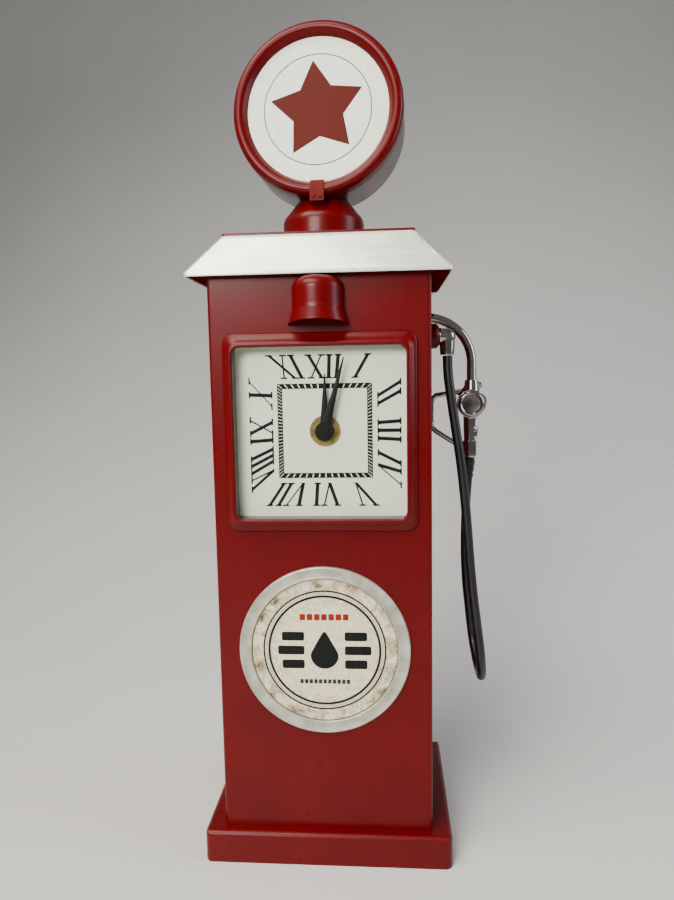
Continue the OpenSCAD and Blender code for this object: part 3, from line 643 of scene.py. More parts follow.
@dataclass(frozen=True)
class Moulded:
    """Moulded plastic, rubber, enamelled wire or a coated board, with the fine texture of its mould."""

    name: str
    colour: str
    worn: str
    roughness: float = 0.45
    grain_mm: float = 0.8
    relief_mm: float = 0.01
    wear_mm: float = 14.0
    coat: float = 0.0

    def material(self) -> bpy.types.Material:
        """Mixes the plastic.

        Returns:
            The material.
        """
        mix = Recipe(self.name)
        grain = mix.add(
            "ShaderNodeTexNoise",
            {"Vector": mix.place, "Scale": per_mm(self.grain_mm), "Detail": 4.0, "Roughness": 0.6},
        )
        broad = mix.add(
            "ShaderNodeTexNoise", {"Vector": mix.place, "Scale": per_mm(self.wear_mm), "Detail": 4.0}
        )
        worn = mix.add(
            "ShaderNodeMapRange", {"Value": broad.outputs["Fac"], "From Min": 0.45, "From Max": 0.75}
        )
        tone = mix.add(
            "ShaderNodeMix",
            {0: worn.outputs["Result"], 6: linear(self.colour), 7: linear(self.worn)},
            data_type="RGBA",
        )
        rough = mix.add(
            "ShaderNodeMapRange",
            {"Value": broad.outputs["Fac"], "To Min": self.roughness - 0.08, "To Max": self.roughness + 0.12},
        )
        relief = mix.add(
            "ShaderNodeBump",
            {"Height": grain.outputs["Fac"], "Strength": 0.4, "Distance": self.relief_mm * MM},
        )
        mix.link(
            mix.shader,
            {
                "Base Color": tone.outputs[2],
                "Roughness": rough.outputs["Result"],
                "Coat Weight": self.coat,
                "Normal": relief.outputs["Normal"],
            },
        )
        return mix.material


@dataclass(frozen=True)
class ClearGlass:
    """Thin float glass: it shows the dial through, and gains a reflection towards grazing angles."""

    name: str = "float_glass_clear"
    ior: float = 1.5
    smear_mm: float = 24.0
    film: float = 0.025
    sheen_edge_on: float = 0.7

    def material(self) -> bpy.types.Material:
        """Mixes the glass.

        Returns:
            The material.
        """
        mix = Recipe(self.name)
        edge_on = mix.add("ShaderNodeFresnel", {"IOR": self.ior})
        smear = mix.add(
            "ShaderNodeTexNoise", {"Vector": mix.place, "Scale": per_mm(self.smear_mm), "Detail": 5.0}
        )
        film = mix.add(
            "ShaderNodeMapRange", {"Value": smear.outputs["Fac"], "To Min": 0.0, "To Max": self.film}
        )
        cover = mix.add(
            "ShaderNodeMapRange",
            {
                "Value": edge_on.outputs["Fac"],
                "From Min": 0.04,
                "To Min": 0.0,
                "To Max": self.sheen_edge_on,
            },
        )
        alpha = mix.add(
            "ShaderNodeMath", {0: cover.outputs["Result"], 1: film.outputs["Result"]}, operation="ADD"
        )
        mix.link(
            mix.shader,
            {
                "Base Color": linear("#dfe6e2"),
                "Metallic": 1.0,
                "Roughness": 0.03,
                "Alpha": alpha.outputs["Value"],
            },
        )
        return mix.material


# Finishes of this object, by the record's material slot. Each comment says what the finish gives the eye.
FINISHES: dict[str, Paint | Metal | Print | Moulded | ClearGlass] = {
    # A deep even red with a soft, slightly uneven sheen
    "red_paint": Paint(
        "sprayed_enamel_red", "#5c0105", "#540206", gloss=0.25, dull=0.36, coat=0.04, specular=0.16
    ),
    # A pale, nearly white sheet whose orange peel breaks up the room
    "silver_paint": Paint(
        "sprayed_lacquer_silver", "#eef4e1", "#dde3d5", metallic=0.3, gloss=0.2, dull=0.36, peel_mm=2.6,
        peel_depth_mm=0.05, patch_mm=26.0,
    ),
    # Thin lacquer that lets dull steel show
    "grey_steel": Paint("thin_lacquer_grey", "#6a5c60", "#57494d", metallic=0.7, gloss=0.3, dull=0.45),
    # A soft grey casting skin with no clear reflection
    "dull_zinc": Paint(
        "die_cast_zinc_dull", "#c2c3b3", "#9f9f8e", metallic=0.6, gloss=0.3, dull=0.5, patch_mm=7.0,
        peel_mm=1.2, peel_depth_mm=0.04, coat=0.0,
    ),
    # Pale plated screws and nuts, a little stained
    "zinc_steel": Metal("zinc_plated_steel", "#c3c6c8", "#8e8a80", polished=0.25, rubbed=0.45),
    # Sharp dark and bright reflections over faint casting ripples
    "chrome": Metal(
        "chrome_plated_casting", "#a29d98", "#6f655e", polished=0.07, rubbed=0.2, grain_mm=3.0,
        relief_mm=0.03, dirt_from=0.66,
    ),
    # A warm, aged yellow with fine turning marks
    "brass": Metal("turned_brass", "#a8935a", "#5f5230", polished=0.24, rubbed=0.42),
    # A smooth cream ground, foxed in a few places
    "printed_tin": Print(
        "lithographed_tin_cream", "#f2f1dd", "#e0decb", "#c9bfa4", stain_from=0.6, stain_to=0.84,
        roughness=0.42,
    ),
    # Clean matt card, hardly aged behind its glass
    "printed_dial": Print(
        "printed_dial_card", "#f4f9e4", "#f0f5de", "#e8ecd2", stain_mm=30.0, roughness=0.6, specular=0.2
    ),
    # Clear from the front, mirror-like from the side
    "clear_glass": ClearGlass(),
    # A flat satin black that keeps the hands readable
    "black_enamel": Paint(
        "satin_black_enamel", "#050608", "#0a0b0e", gloss=0.35, dull=0.5, patch_mm=12.0, coat=0.0,
        specular=0.2, dusting=0.04,
    ),
    # The even, fine-grained black of a moulded case
    "black_plastic": Moulded("moulded_abs_black", "#17181a", "#26272a"),
    # Waxy off-white gears
    "white_plastic": Moulded("moulded_acetal_white", "#e6e4dc", "#d8d4c8", roughness=0.4),
    # Smooth rubber with a long soft highlight
    "black_hose": Moulded("extruded_rubber_black", "#040507", "#0b0c10", roughness=0.38, grain_mm=1.5),
    # Dull grey, hardly metallic, with a sintered grain
    "dark_magnet": Metal("sintered_ferrite", "#4b4c50", "#333336", polished=0.4, rubbed=0.6),
    # Fine turns of wire lying side by side
    "copper_winding": Metal(
        "enamelled_copper_wire", "#b8602c", "#8a4420", polished=0.2, rubbed=0.4, grain_mm=0.6,
        stretch=(1.0, 8.0, 1.0), relief_mm=0.06,
    ),
    # A glossy translucent green skin
    "green_board": Moulded("soldermask_green", "#1d6b3c", "#17552f", roughness=0.3, coat=0.4),
    # A plain glossy sleeve with no print
    "battery_jacket": Moulded("shrink_sleeve_plain", "#30343c", "#23262c", roughness=0.3, coat=0.3),
}

# Inks, stains, a painted shade and flat paints of single pieces. Inks are matt and slightly rubbed to a paler
# tone.
STAR_INK = Print(
    "worn_ink_oxide_red", "#58180d", "#4f160a", "#682819", mottle_mm=1.4, stain_mm=6.0, stain_from=0.6,
    roughness=0.6, specular=0.12,
)
BLACK_INK = Print(
    "printed_ink_black", "#0e100f", "#161816", "#2b2d29", stain_from=0.66, stain_to=0.9, roughness=0.6,
    specular=0.15,
)
GREY_INK = Print(
    "printed_ink_grey", "#2a2c28", "#383a34", "#6f6c60", stain_from=0.6, roughness=0.6, specular=0.15
)
RED_INK = Print(
    "printed_ink_red", "#8e2014", "#83200f", "#a8705a", stain_from=0.6, roughness=0.6, specular=0.15
)
FLAT_RED = Paint(
    "flat_enamel_red", "#520206", "#460205", gloss=0.8, dull=0.95, coat=0.0, specular=0.0, dusting=0.05
)
STRAP_RED = Paint(
    "brushed_enamel_red", "#641814", "#5b1410", gloss=0.5, dull=0.65, coat=0.0, specular=0.08, patch_mm=8.0
)
# The caps' wells are given a darker, rougher metal than the chrome round them
WELL_METAL = Metal("darker_well_metal", "#77736e", "#3a3632", polished=0.28, rubbed=0.5, dirt_from=0.45)
# Painted shade: the dark ring along the badge rim's inner edge stands for the shadow in the gap where the rim
# meets the face. Its brown tones are painted shade, not grime.
SEAM_SHADE_INK = Print(
    "painted_shade_in_seam", "#3a3024", "#4f4230", "#7a6a50", mottle_mm=3.0, stain_mm=8.0, roughness=0.8
)
ROUNDEL_TIN = Print(
    "lithographed_tin_cool", "#e9f0e6", "#d5e1da", "#c6d2c6", mottle_mm=2.6, stain_from=0.6, roughness=0.4,
)
BAND_TIN = Print(
    "lithographed_tin_grey", "#c9c2ae", "#b5aa90", "#6f5228", mottle_mm=1.6, stain_mm=9.0, stain_from=0.53,
    roughness=0.45,
)
BADGE_TIN = Print(
    "lithographed_tin_foxed", "#ebe3c4", "#c4b487", "#54380f", mottle_mm=1.5, stain_mm=6.0, stain_from=0.43,
    stain_to=0.66, roughness=0.42, clean_mm=27.0,
)


class Paintbox:
    """Every finish, mixed once, and the nodes and pieces that take it."""

    def __init__(self) -> None:
        """Starts with nothing mixed."""
        self._mixed: dict[str, bpy.types.Material] = {}
        self._slot_of_node = {s["node"]: s["material_slot"] for s in frame["record"]["subparts"]}

    def slot_material(self, slot: str) -> bpy.types.Material:
        """The material of one of the record's slots."""
        return self.mixed(FINISHES[slot])

    def mixed(self, finish: Paint | Metal | Print | Moulded | ClearGlass) -> bpy.types.Material:
        """The material of a finish, mixed the first time it is asked for."""
        if finish.name not in self._mixed:
            self._mixed[finish.name] = finish.material()
        return self._mixed[finish.name]

    def dress_nodes(self) -> None:
        """Gives every CAD node its slot's finish, in place of the plain colour it came with."""
        for node, piece in frame["nodes"].items():
            piece.data.materials.clear()
            piece.data.materials.append(self.slot_material(self._slot_of_node[node]))
            LOG.info("dressed %s in %s", node, self._slot_of_node[node])

    def dress(
        self,
        piece: bpy.types.Object,
        body: Body,
        slot: str | None,
        finish: Paint | Metal | Print | Moulded | None = None,
        replaces: Sequence[str] = (),
    ) -> bpy.types.Object:
        """Finishes a new piece and fixes it to its body.

        Args:
            piece: A mesh object, in place.
            body: The CAD body that it rides on.
            slot: The record's material slot that it belongs to, or None for an ink.
            finish: Its own finish, if it isn't the slot's.
            replaces: CAD nodes that it stands for.

        Returns:
            The piece.
        """
        piece.data.materials.clear()
        piece.data.materials.append(self.mixed(finish) if finish else self.slot_material(slot))
        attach(piece, body.value)
        if replaces:
            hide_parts(*replaces)
        LOG.info("built %s: %d faces on %s", piece.name, len(piece.data.polygons), body.value)
        return piece


# --------------------------------------------------------------------------------------------------
# Studio
# --------------------------------------------------------------------------------------------------


@dataclass
class Studio:
    """Camera, pale floor and soft light."""

    eye_mm: tuple[float, float, float] = (32.6, -377.3, 254.3)
    yaw: float = 4.18
    pitch: float = -6.17
    roll: float = 0.98
    lens_mm: float = 27.24
    floor_m: float = 9.0
    wall_m: float = 1.25
    wall_rise_m: float = 2.0
    sweep_m: float = 1.05
    room_light: float = 0.32

    def camera(self) -> None:
        """Sets the camera a little above and to the right of the clock."""
        data = bpy.data.cameras.new("camera")
        data.lens = self.lens_mm
        data.sensor_width = 36.0
        data.clip_start = 0.01
        camera = bpy.data.objects.new("camera", data)
        bpy.context.scene.collection.objects.link(camera)
        turn = (
            Matrix.Rotation(math.radians(self.yaw), 4, "Z")
            @ Matrix.Rotation(math.radians(self.pitch), 4, "X")
            @ Matrix.Rotation(math.radians(self.roll), 4, "Y")
            @ Matrix.Rotation(math.radians(90), 4, "X")
        )
        camera.matrix_world = Matrix.Translation(Vector(self.eye_mm) * MM) @ turn
        bpy.context.scene.camera = camera

    def floor(self) -> None:
        """A pale table that sweeps up into the wall behind."""
        deselect()
        behind = self.wall_m - self.floor_m / 2
        bpy.ops.mesh.primitive_plane_add(size=self.floor_m, location=(0, behind, 0))
        floor = bpy.context.object
        bpy.ops.object.transform_apply(location=True)
        floor.name = "table"
        bpy.ops.object.mode_set(mode="EDIT")
        far = self.wall_m - 0.01
        pick_edges(floor, lambda edge: all(v.co.y > far for v in edge.verts))
        bpy.ops.mesh.extrude_region_move(TRANSFORM_OT_translate={"value": (0, 0, self.wall_rise_m)})
        pick_edges(floor, lambda edge: all(v.co.y > far and v.co.z < 0.01 for v in edge.verts))
        bpy.ops.mesh.bevel(offset=self.sweep_m, segments=48)
        bpy.ops.object.mode_set(mode="OBJECT")
        bpy.ops.object.shade_smooth_by_angle(angle=math.radians(40))
        surface = Paint(
            "painted_table_pale", "#d6d4ce", "#d0cec9", gloss=0.38, dull=0.5, patch_mm=400.0, coat=0.0,
            peel_depth_mm=0.02, dusting=0.0,
        )
        floor.data.materials.append(surface.material())

    def lamp(
        self, name: str, spot: tuple[float, float, float], aim: tuple[float, float, float],
        size: tuple[float, float], power: float, spread: float, colour: str = "#ffffff",
    ) -> None:
        """Adds a soft box.

        Args:
            name: The light's name.
            spot: Where it hangs, in metres.
            aim: The point that it faces.
            size: Width and height in metres.
            power: Watts.
            spread: How wide its light opens, in degrees.
            colour: Its colour.
        """
        data = bpy.data.lights.new(name, "AREA")
        data.shape = "RECTANGLE"
        data.size, data.size_y = size
        data.energy = power
        data.spread = math.radians(spread)
        data.color = linear(colour)[:3]
        light = bpy.data.objects.new(name, data)
        bpy.context.scene.collection.objects.link(light)
        light.location = spot
        light.rotation_mode = "QUATERNION"
        light.rotation_quaternion = (Vector(aim) - Vector(spot)).to_track_quat("-Z", "Y")

    def light(self) -> None:
        """An even room, a soft box overhead to the left, a cooler window to the right and a front card."""
        world = bpy.data.worlds.new("room")
        bpy.context.scene.world = world
        world.use_nodes = True
        background = world.node_tree.nodes["Background"]
        background.inputs["Color"].default_value = linear("#d9dce0")
        background.inputs["Strength"].default_value = self.room_light
        self.lamp("overhead_box", (-0.45, -0.5, 1.2), (-0.1, -0.1, 0.0), (0.9, 0.6), 9.5, 120, "#fffaf2")
        self.lamp("window_box", (0.95, -0.1, 0.55), (0.1, 0.4, 0.1), (0.4, 0.7), 4.0, 140, "#eaf0ff")
        self.lamp("front_card", (-0.5, -1.25, 0.72), (0, 0, 0.25), (0.7, 0.5), 4.0, 70, "#fffcf6")


# --------------------------------------------------------------------------------------------------
# Hose
# --------------------------------------------------------------------------------------------------


@dataclass
class Hose:
    """The black hose from the elbow to the nozzle, and the sleeve that guards it there."""

    paints: Paintbox
    diameter_mm: float = 5.0
    sleeve_mm: float = 11.0
    ribs: int = 3
    bend_y_mm: float = 17.0
    wall_mm: float = 55.0
    route_mm: list[tuple[float, float, float]] = field(
        default_factory=lambda: [
            (9.4, -20, 264), (9.8, -20, 254), (11.6, -20, 240), (14, -20, 224), (16.4, -20, 208),
            (18.4, -20, 190), (20, -20, 172), (21.4, -20, 154), (23.2, -20, 136), (25.2, -20, 120),
            (27, -20, 105), (28, -17.3, 95), (29, -10, 87.7), (29.4, 0, 85), (29, 10, 87.7), (28, 17.3, 95),
            (26.8, 20, 105), (25.4, 20, 118), (24, 20, 132), (23.2, 20, 148), (23.2, 20, 164),
            (23.8, 20, 180), (24.8, 20, 194), (25.5, 20, 206),
        ]
    )

    def line(self) -> list[Vector]:
        """The hose's middle line, a Catmull-Rom curve through its route.

        Returns:
            Its points in metres.
        """
        spots = [Vector((x + self.wall_mm, y, z)) * MM for x, y, z in self.route_mm]
        padded = [2 * spots[0] - spots[1], *spots, 2 * spots[-1] - spots[-2]]
        steps = 6
        line: list[Vector] = []
        for a, b, c, d in zip(padded, padded[1:], padded[2:], padded[3:]):
            for i in range(steps):
                t = i / steps
                twice = 2 * b + (c - a) * t
                twice += (2 * a - 5 * b + 4 * c - d) * t**2
                twice += (3 * b - a - 3 * c + d) * t**3
                line.append(0.5 * twice)
        return [*line, spots[-1]]

    def tube(self, line: Sequence[Vector]) -> bpy.types.Object:
        """The hose's wall round its middle line, capped at both ends.

        Args:
            line: The middle line, in metres.

        Returns:
            The mesh object.
        """
        deselect()
        data = bpy.data.curves.new("hose_line", "CURVE")
        data.dimensions = "3D"
        spline = data.splines.new("POLY")
        spline.points.add(len(line) - 1)
        for point, spot in zip(spline.points, line):
            point.co = (*spot, 1.0)
        data.bevel_depth = self.diameter_mm / 2 * MM
        data.bevel_resolution = 6
        data.use_fill_caps = True
        tube = bpy.data.objects.new("hose_tube", data)
        bpy.context.scene.collection.objects.link(tube)
        tube.select_set(True)
        bpy.context.view_layer.objects.active = tube
        bpy.ops.object.convert(target="MESH")
        tube = bpy.context.object
        smooth(tube, 60)
        return tube

    def sleeve(self, line: Sequence[Vector]) -> bpy.types.Object:
        """The tapered rubber sleeve below the nozzle's collar, with its moulded ribs.

        Args:
            line: The middle line, in metres.

        Returns:
            The mesh object.
        """
        hose_r = self.diameter_mm / 2
        top = hose_r + 1.1
        tip = hose_r + 0.35
        bore = hose_r - 0.2
        shoulder = -0.3
        groove = 0.3
        profile: list[Point] = [(bore, -self.sleeve_mm), (tip, -self.sleeve_mm)]
        for i in range(self.ribs):
            low = -self.sleeve_mm * (1 - (i + 0.45) / self.ribs)
            high = -self.sleeve_mm * (1 - (i + 0.85) / self.ribs)
            r = tip + (top - tip) * (i + 0.6) / self.ribs
            profile += [(r, low), (r - groove, low + 0.2), (r - groove, high), (r + 0.05, high + 0.2)]
        profile += [(top, shoulder), (bore, shoulder), profile[0]]
        sleeve = turned("hose_sleeve", profile, 40)
        end = line[-1]
        heading = (line[-1] - line[-8]).normalized()
        settle(sleeve, Matrix.Translation(end) @ heading.to_track_quat("Z", "Y").to_matrix().to_4x4())
        return sleeve

    def build(self) -> None:
        line = self.line()
        sleeve = self.sleeve(line)
        self.paints.dress(sleeve, Body.NOZZLE, "black_hose")
        tube = self.tube(line)
        tube.data.materials.append(self.paints.slot_material("black_hose"))
        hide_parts("hose")
        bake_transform(tube)


# --------------------------------------------------------------------------------------------------
# Dial
# --------------------------------------------------------------------------------------------------


@dataclass
class DialPrint:
    """Numerals and minute track, printed on the dial in squares about the hands' pivot."""

    paints: Paintbox
    ink_mm: float = 0.06
    numeral_in: float = 26.2
    numeral_out: float = 38.2
    track_in: float = 21.2
    track_out: float = 23.8
    thick: float = 1.85
    thin: float = 0.8
    serif_mm: float = 3.4
    overhang: float = 1.5
    point_shift: float = 0.2
    longest: float = 17.5
    line_mm: float = 0.35
    gap_share: float = 0.2
    blocks: tuple[int, int] = (14, 27)
    widths: dict[str, float] = field(default_factory=lambda: {"I": 4.3, "V": 9.4, "X": 9.4})

    def __post_init__(self) -> None:
        """Finds the dial's face and the pivot from the frame."""
        low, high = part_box("bush_washer")
        self.pivot = Vector(((low.x + high.x) / 2, 0, (low.z + high.z) / 2))
        self.face_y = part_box("dial_plate")[0].y

    def on_side(self, side: int, along: float, out: float) -> Vector:
        """A point of the dial.

        Args:
            side: 0 for the top side, then clockwise.
            along: Millimetres along the side, clockwise from its middle.
            out: Millimetres outward from the pivot.

        Returns:
            The point in metres, on the dial's face.
        """
        quarter = math.radians(90 * side)
        x = along * math.cos(quarter) + out * math.sin(quarter)
        z = out * math.cos(quarter) - along * math.sin(quarter)
        return self.pivot + Vector((x, 0, z)) * MM + Vector((0, self.face_y, 0))

    def patch(self, sheet: bpy.types.Object, corners: Sequence[Vector]) -> None:
        """Adds one four-sided patch to a sheet that is in edit mode.

        Args:
            sheet: The printed piece.
            corners: Its corners in order.
        """
        bpy.ops.mesh.primitive_plane_add(size=1 * MM, location=(0, 0, 0))
        mesh = bmesh.from_edit_mesh(sheet.data)
        face = next(f for f in mesh.faces if f.select)
        for vertex, corner in zip(face.verts, corners):
            vertex.co = corner
        bmesh.update_edit_mesh(sheet.data)
        bpy.ops.mesh.select_all(action="DESELECT")

    def end(self, sheet: bpy.types.Object) -> None:
        """Raises the ink by its thickness and leaves edit mode.

        Args:
            sheet: The printed piece.
        """
        bpy.ops.mesh.select_all(action="SELECT")
        bpy.ops.mesh.normals_make_consistent(inside=False)
        bpy.ops.mesh.extrude_region_move(TRANSFORM_OT_translate={"value": (0, -self.ink_mm * MM, 0)})
        bpy.ops.mesh.select_all(action="SELECT")
        bpy.ops.mesh.normals_make_consistent(inside=False)
        bpy.ops.object.mode_set(mode="OBJECT")
        settle(sheet)

    def stroke(
        self, sheet: bpy.types.Object, side: int, lean: float, start: Point, end: Point, width: float
    ) -> None:
        """One stroke of a numeral, leaning with the line from the pivot.

        Args:
            sheet: The printed piece.
            side: The dial's side.
            lean: Tangent of the numeral's angle from the side's middle.
            start: (along, share of the height) of its inner end.
            end: The same of its outer end.
            width: Its width along the side, in millimetres.
        """
        tall = self.numeral_out - self.numeral_in
        middle = (self.numeral_out + self.numeral_in) / 2
        corners = []
        for (along, share), half in ((start, -1), (start, 1), (end, 1), (end, -1)):
            out = self.numeral_in + share * tall
            spread = math.sqrt(out / middle)
            corners.append(self.on_side(side, out * lean + along * spread + half * width / 2, out))
        self.patch(sheet, corners)

    def serif(
        self, sheet: bpy.types.Object, side: int, lean: float, along: float, share: float
    ) -> None:
        """A thin serif across the end of a stroke.

        Args:
            sheet: The printed piece.
            side: The dial's side.
            lean: Tangent of the numeral's angle from the side's middle.
            along: Where its middle is, along the side.
            share: 0 at the numeral's inner end, 1 at its outer end.
        """
        tall = self.numeral_out - self.numeral_in
        step = self.thin / tall
        low = min(share, 1 - step)
        self.stroke(sheet, side, lean, (along, low), (along, low + step), self.serif_mm)

    def letter(
        self, sheet: bpy.types.Object, side: int, lean: float, kind: str, left: float, width: float
    ) -> None:
        """One letter of a numeral with its serifs.

        Args:
            sheet: The printed piece.
            side: The dial's side.
            lean: Tangent of the numeral's angle from the side's middle.
            kind: I, V or X.
            left: Where it starts, along the side.
            width: Its width.
        """
        middle = left + width / 2
        reach = width / 2 - self.overhang
        if kind == "I":
            self.stroke(sheet, side, lean, (middle, 0), (middle, 1), self.thick)
            for share in (0, 1):
                self.serif(sheet, side, lean, middle, share)
            return
        if kind == "V":
            point = middle + self.point_shift
            self.stroke(sheet, side, lean, (point, 0), (middle - reach, 1), self.thick)
            self.stroke(sheet, side, lean, (point, 0), (middle + reach, 1), self.thin)
        else:
            self.stroke(sheet, side, lean, (middle + reach, 0), (middle - reach, 1), self.thick)
            self.stroke(sheet, side, lean, (middle - reach, 0), (middle + reach, 1), self.thin)
            for end in (-1, 1):
                self.serif(sheet, side, lean, middle + end * reach, 0)
        for end in (-1, 1):
            self.serif(sheet, side, lean, middle + end * reach, 1)

    def numerals(self) -> bpy.types.Object:
        """The twelve Roman numerals, their feet towards the pivot.

        Returns:
            The mesh object.
        """
        words = ("XII", "I", "II", "III", "IV", "V", "VI", "VII", "VIII", "IX", "X", "XI")
        sheet = empty_sheet("dial_numerals")
        for hour, word in enumerate(words):
            side = ((hour + 1) // 3) % 4
            off = (hour - 3 * side + 6) % 12 - 6
            lean = math.tan(math.radians(30 * off))
            full = sum(self.widths[c] for c in word)
            squeeze = min(1.0, self.longest / full) if len(word) > 2 else 1.0
            left = -full * squeeze / 2
            for kind in word:
                width = self.widths[kind] * squeeze
                self.letter(sheet, side, lean, kind, left, width)
                left += width
        self.end(sheet)
        return sheet

    def track(self) -> bpy.types.Object:
        """The square minute track: blocks that lean with the line from the pivot, between two thin lines.

        Returns:
            The mesh object.
        """
        sheet = empty_sheet("dial_track")
        inner, outer = self.track_in + self.line_mm, self.track_out - self.line_mm
        for side in range(4):
            blocks = self.blocks[side % 2]
            spans = [
                (-1 + 2 * (i + self.gap_share / 2) / blocks, -1 + 2 * (i + 1 - self.gap_share / 2) / blocks)
                for i in range(blocks)
            ]
            strips = [(start, end, inner, outer) for start, end in spans]
            strips += [(-1, 1, self.track_in, inner), (-1, 1, outer, self.track_out)]
            for start, end, low, high in strips:
                corners = ((start, low), (end, low), (end, high), (start, high))
                self.patch(sheet, [self.on_side(side, t * r, r) for t, r in corners])
        self.end(sheet)
        return sheet

    def build(self) -> None:
        """Prints the dial."""
        self.paints.dress(self.numerals(), Body.ROOT, None, BLACK_INK)
        self.paints.dress(self.track(), Body.ROOT, None, BLACK_INK)


# --------------------------------------------------------------------------------------------------
# Globe and badge
# --------------------------------------------------------------------------------------------------


@dataclass
class Globe:
    """The round sign on the neck: its rolled rim and what is printed on its face."""

    paints: Paintbox
    lean: float = 4.5
    turn: float = -4.0
    depth_mm: float = 27.0
    tin_mm: float = 0.6
    rim_mm: float = 44.0
    bead_mm: float = 3.2
    window_mm: float = 36.6
    wall_mm: float = 0.8
    skirt_mm: float = 4.5
    circle_mm: float = 27.8
    star_tilt: float = 5.0
    star_share: float = 0.9
    roundel_mm: float = 0.03
    ink_mm: float = 0.05

    def place(self) -> Matrix:
        """Where the globe's middle, up and outward axes are in the frame.

        Returns:
            The matrix that takes a piece built about Z there.
        """
        low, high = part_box("globe_band")
        return (
            Matrix.Translation((low + high) / 2)
            @ Matrix.Rotation(math.radians(self.turn), 4, "Z")
            @ Matrix.Rotation(math.radians(90 - self.lean), 4, "X")
        )

    def rim(self) -> bpy.types.Object:
        """The rolled rim: a bead outside, a shallow valley and a bevel down to the face.

        Returns:
            The mesh object.
        """
        face = self.depth_mm / 2 + self.tin_mm
        middle = (self.rim_mm - self.bead_mm, face + 0.5)
        inner = self.bead_mm - self.wall_mm
        profile = [
            (self.rim_mm, face - self.skirt_mm),
            *arc(middle, self.bead_mm, 0, 148, 18),
            (self.window_mm + 0.7, face + 1.25),
            (self.window_mm + 0.15, face + 0.45),
            (self.window_mm, face + 0.03),
            (self.window_mm + 0.6, face + 0.03),
            *arc(middle, inner, 148, 0, 12),
            (self.rim_mm - self.wall_mm + 0.05, face - self.skirt_mm),
            (self.rim_mm, face - self.skirt_mm),
        ]
        rim = turned("globe_rolled_rim", profile, 160)
        settle(rim, self.place())
        return rim

    def star(self, level: float) -> bpy.types.Object:
        """The plain five-pointed star: ten points of a circle, every second one drawn in.

        Args:
            level: Its back's height above the globe's middle in millimetres.

        Returns:
            The mesh object.
        """
        deselect()
        points = 10
        waist = 0.545
        reach = self.circle_mm * self.star_share
        bpy.ops.mesh.primitive_circle_add(
            vertices=points, radius=reach * MM, fill_type="NGON", location=(0, 0, level * MM)
        )
        star = bpy.context.object
        star.name = "globe_star"
        bpy.ops.object.transform_apply(location=True)
        bpy.ops.object.mode_set(mode="EDIT")
        mesh = bmesh.from_edit_mesh(star.data)
        mesh.select_mode = {"VERT"}
        bpy.ops.mesh.select_all(action="DESELECT")
        for vertex in mesh.verts:
            turn = round(math.degrees(math.atan2(vertex.co.x, vertex.co.y)) / (360 / points))
            vertex.select_set(turn % 2 == 1)
        bmesh.update_edit_mesh(star.data)
        bpy.ops.transform.resize(value=(waist, waist, 1), center_override=(0, 0, level * MM))
        bpy.ops.mesh.select_all(action="SELECT")
        bpy.ops.mesh.extrude_region_move(TRANSFORM_OT_translate={"value": (0, 0, self.ink_mm * MM)})
        bpy.ops.mesh.select_all(action="SELECT")
        bpy.ops.mesh.normals_make_consistent(inside=False)
        bpy.ops.object.mode_set(mode="OBJECT")
        settle(star, self.place() @ Matrix.Rotation(math.radians(self.star_tilt), 4, "Z"))
        return star

    def tongue(self) -> bpy.types.Object:
        """The strap's foot, folded back from below the rivets onto the neck's shoulder.

        Returns:
            The mesh object.
        """
        width, length, thick, dip = 7.0, 5.8, 0.8, 14.0
        low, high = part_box("globe_tab")
        deselect()
        bpy.ops.mesh.primitive_cube_add(size=MM)
        tongue = bpy.context.object
        tongue.name = "strap_foot"
        tongue.scale = (width, length, thick)
        bpy.ops.object.transform_apply(location=False, rotation=False, scale=True)
        apply_modifier(tongue, "BEVEL", width=thick * 0.45 * MM, segments=3)
        foot = Vector(((low.x + high.x) / 2, low.y + (length / 2 + 0.3) * MM, low.z + 0.1 * MM))
        fold = Matrix.Rotation(math.radians(self.turn), 4, "Z") @ Matrix.Rotation(math.radians(-dip), 4, "X")
        settle(tongue, Matrix.Translation(foot) @ fold)
        smooth(tongue, 40)
        return tongue

    def build(self) -> None:
        """Rolls the rim and prints the face."""
        self.paints.dress(self.rim(), Body.ROOT, "red_paint", replaces=["globe_rim"])
        self.paints.dress(self.tongue(), Body.ROOT, None, STRAP_RED)
        face = self.depth_mm / 2 + self.tin_mm
        prints = (
            (cut_disc("globe_roundel", self.circle_mm, self.roundel_mm), ROUNDEL_TIN),
            (cut_disc("globe_circle", self.circle_mm + 0.26, 0.07, 128, self.circle_mm - 0.2), GREY_INK),
        )
        for piece, finish in prints:
            settle(piece, self.place() @ Matrix.Translation((0, 0, face * MM)))
            self.paints.dress(piece, Body.ROOT, None, finish)
        self.paints.dress(self.star(face + self.roundel_mm), Body.ROOT, None, STAR_INK)


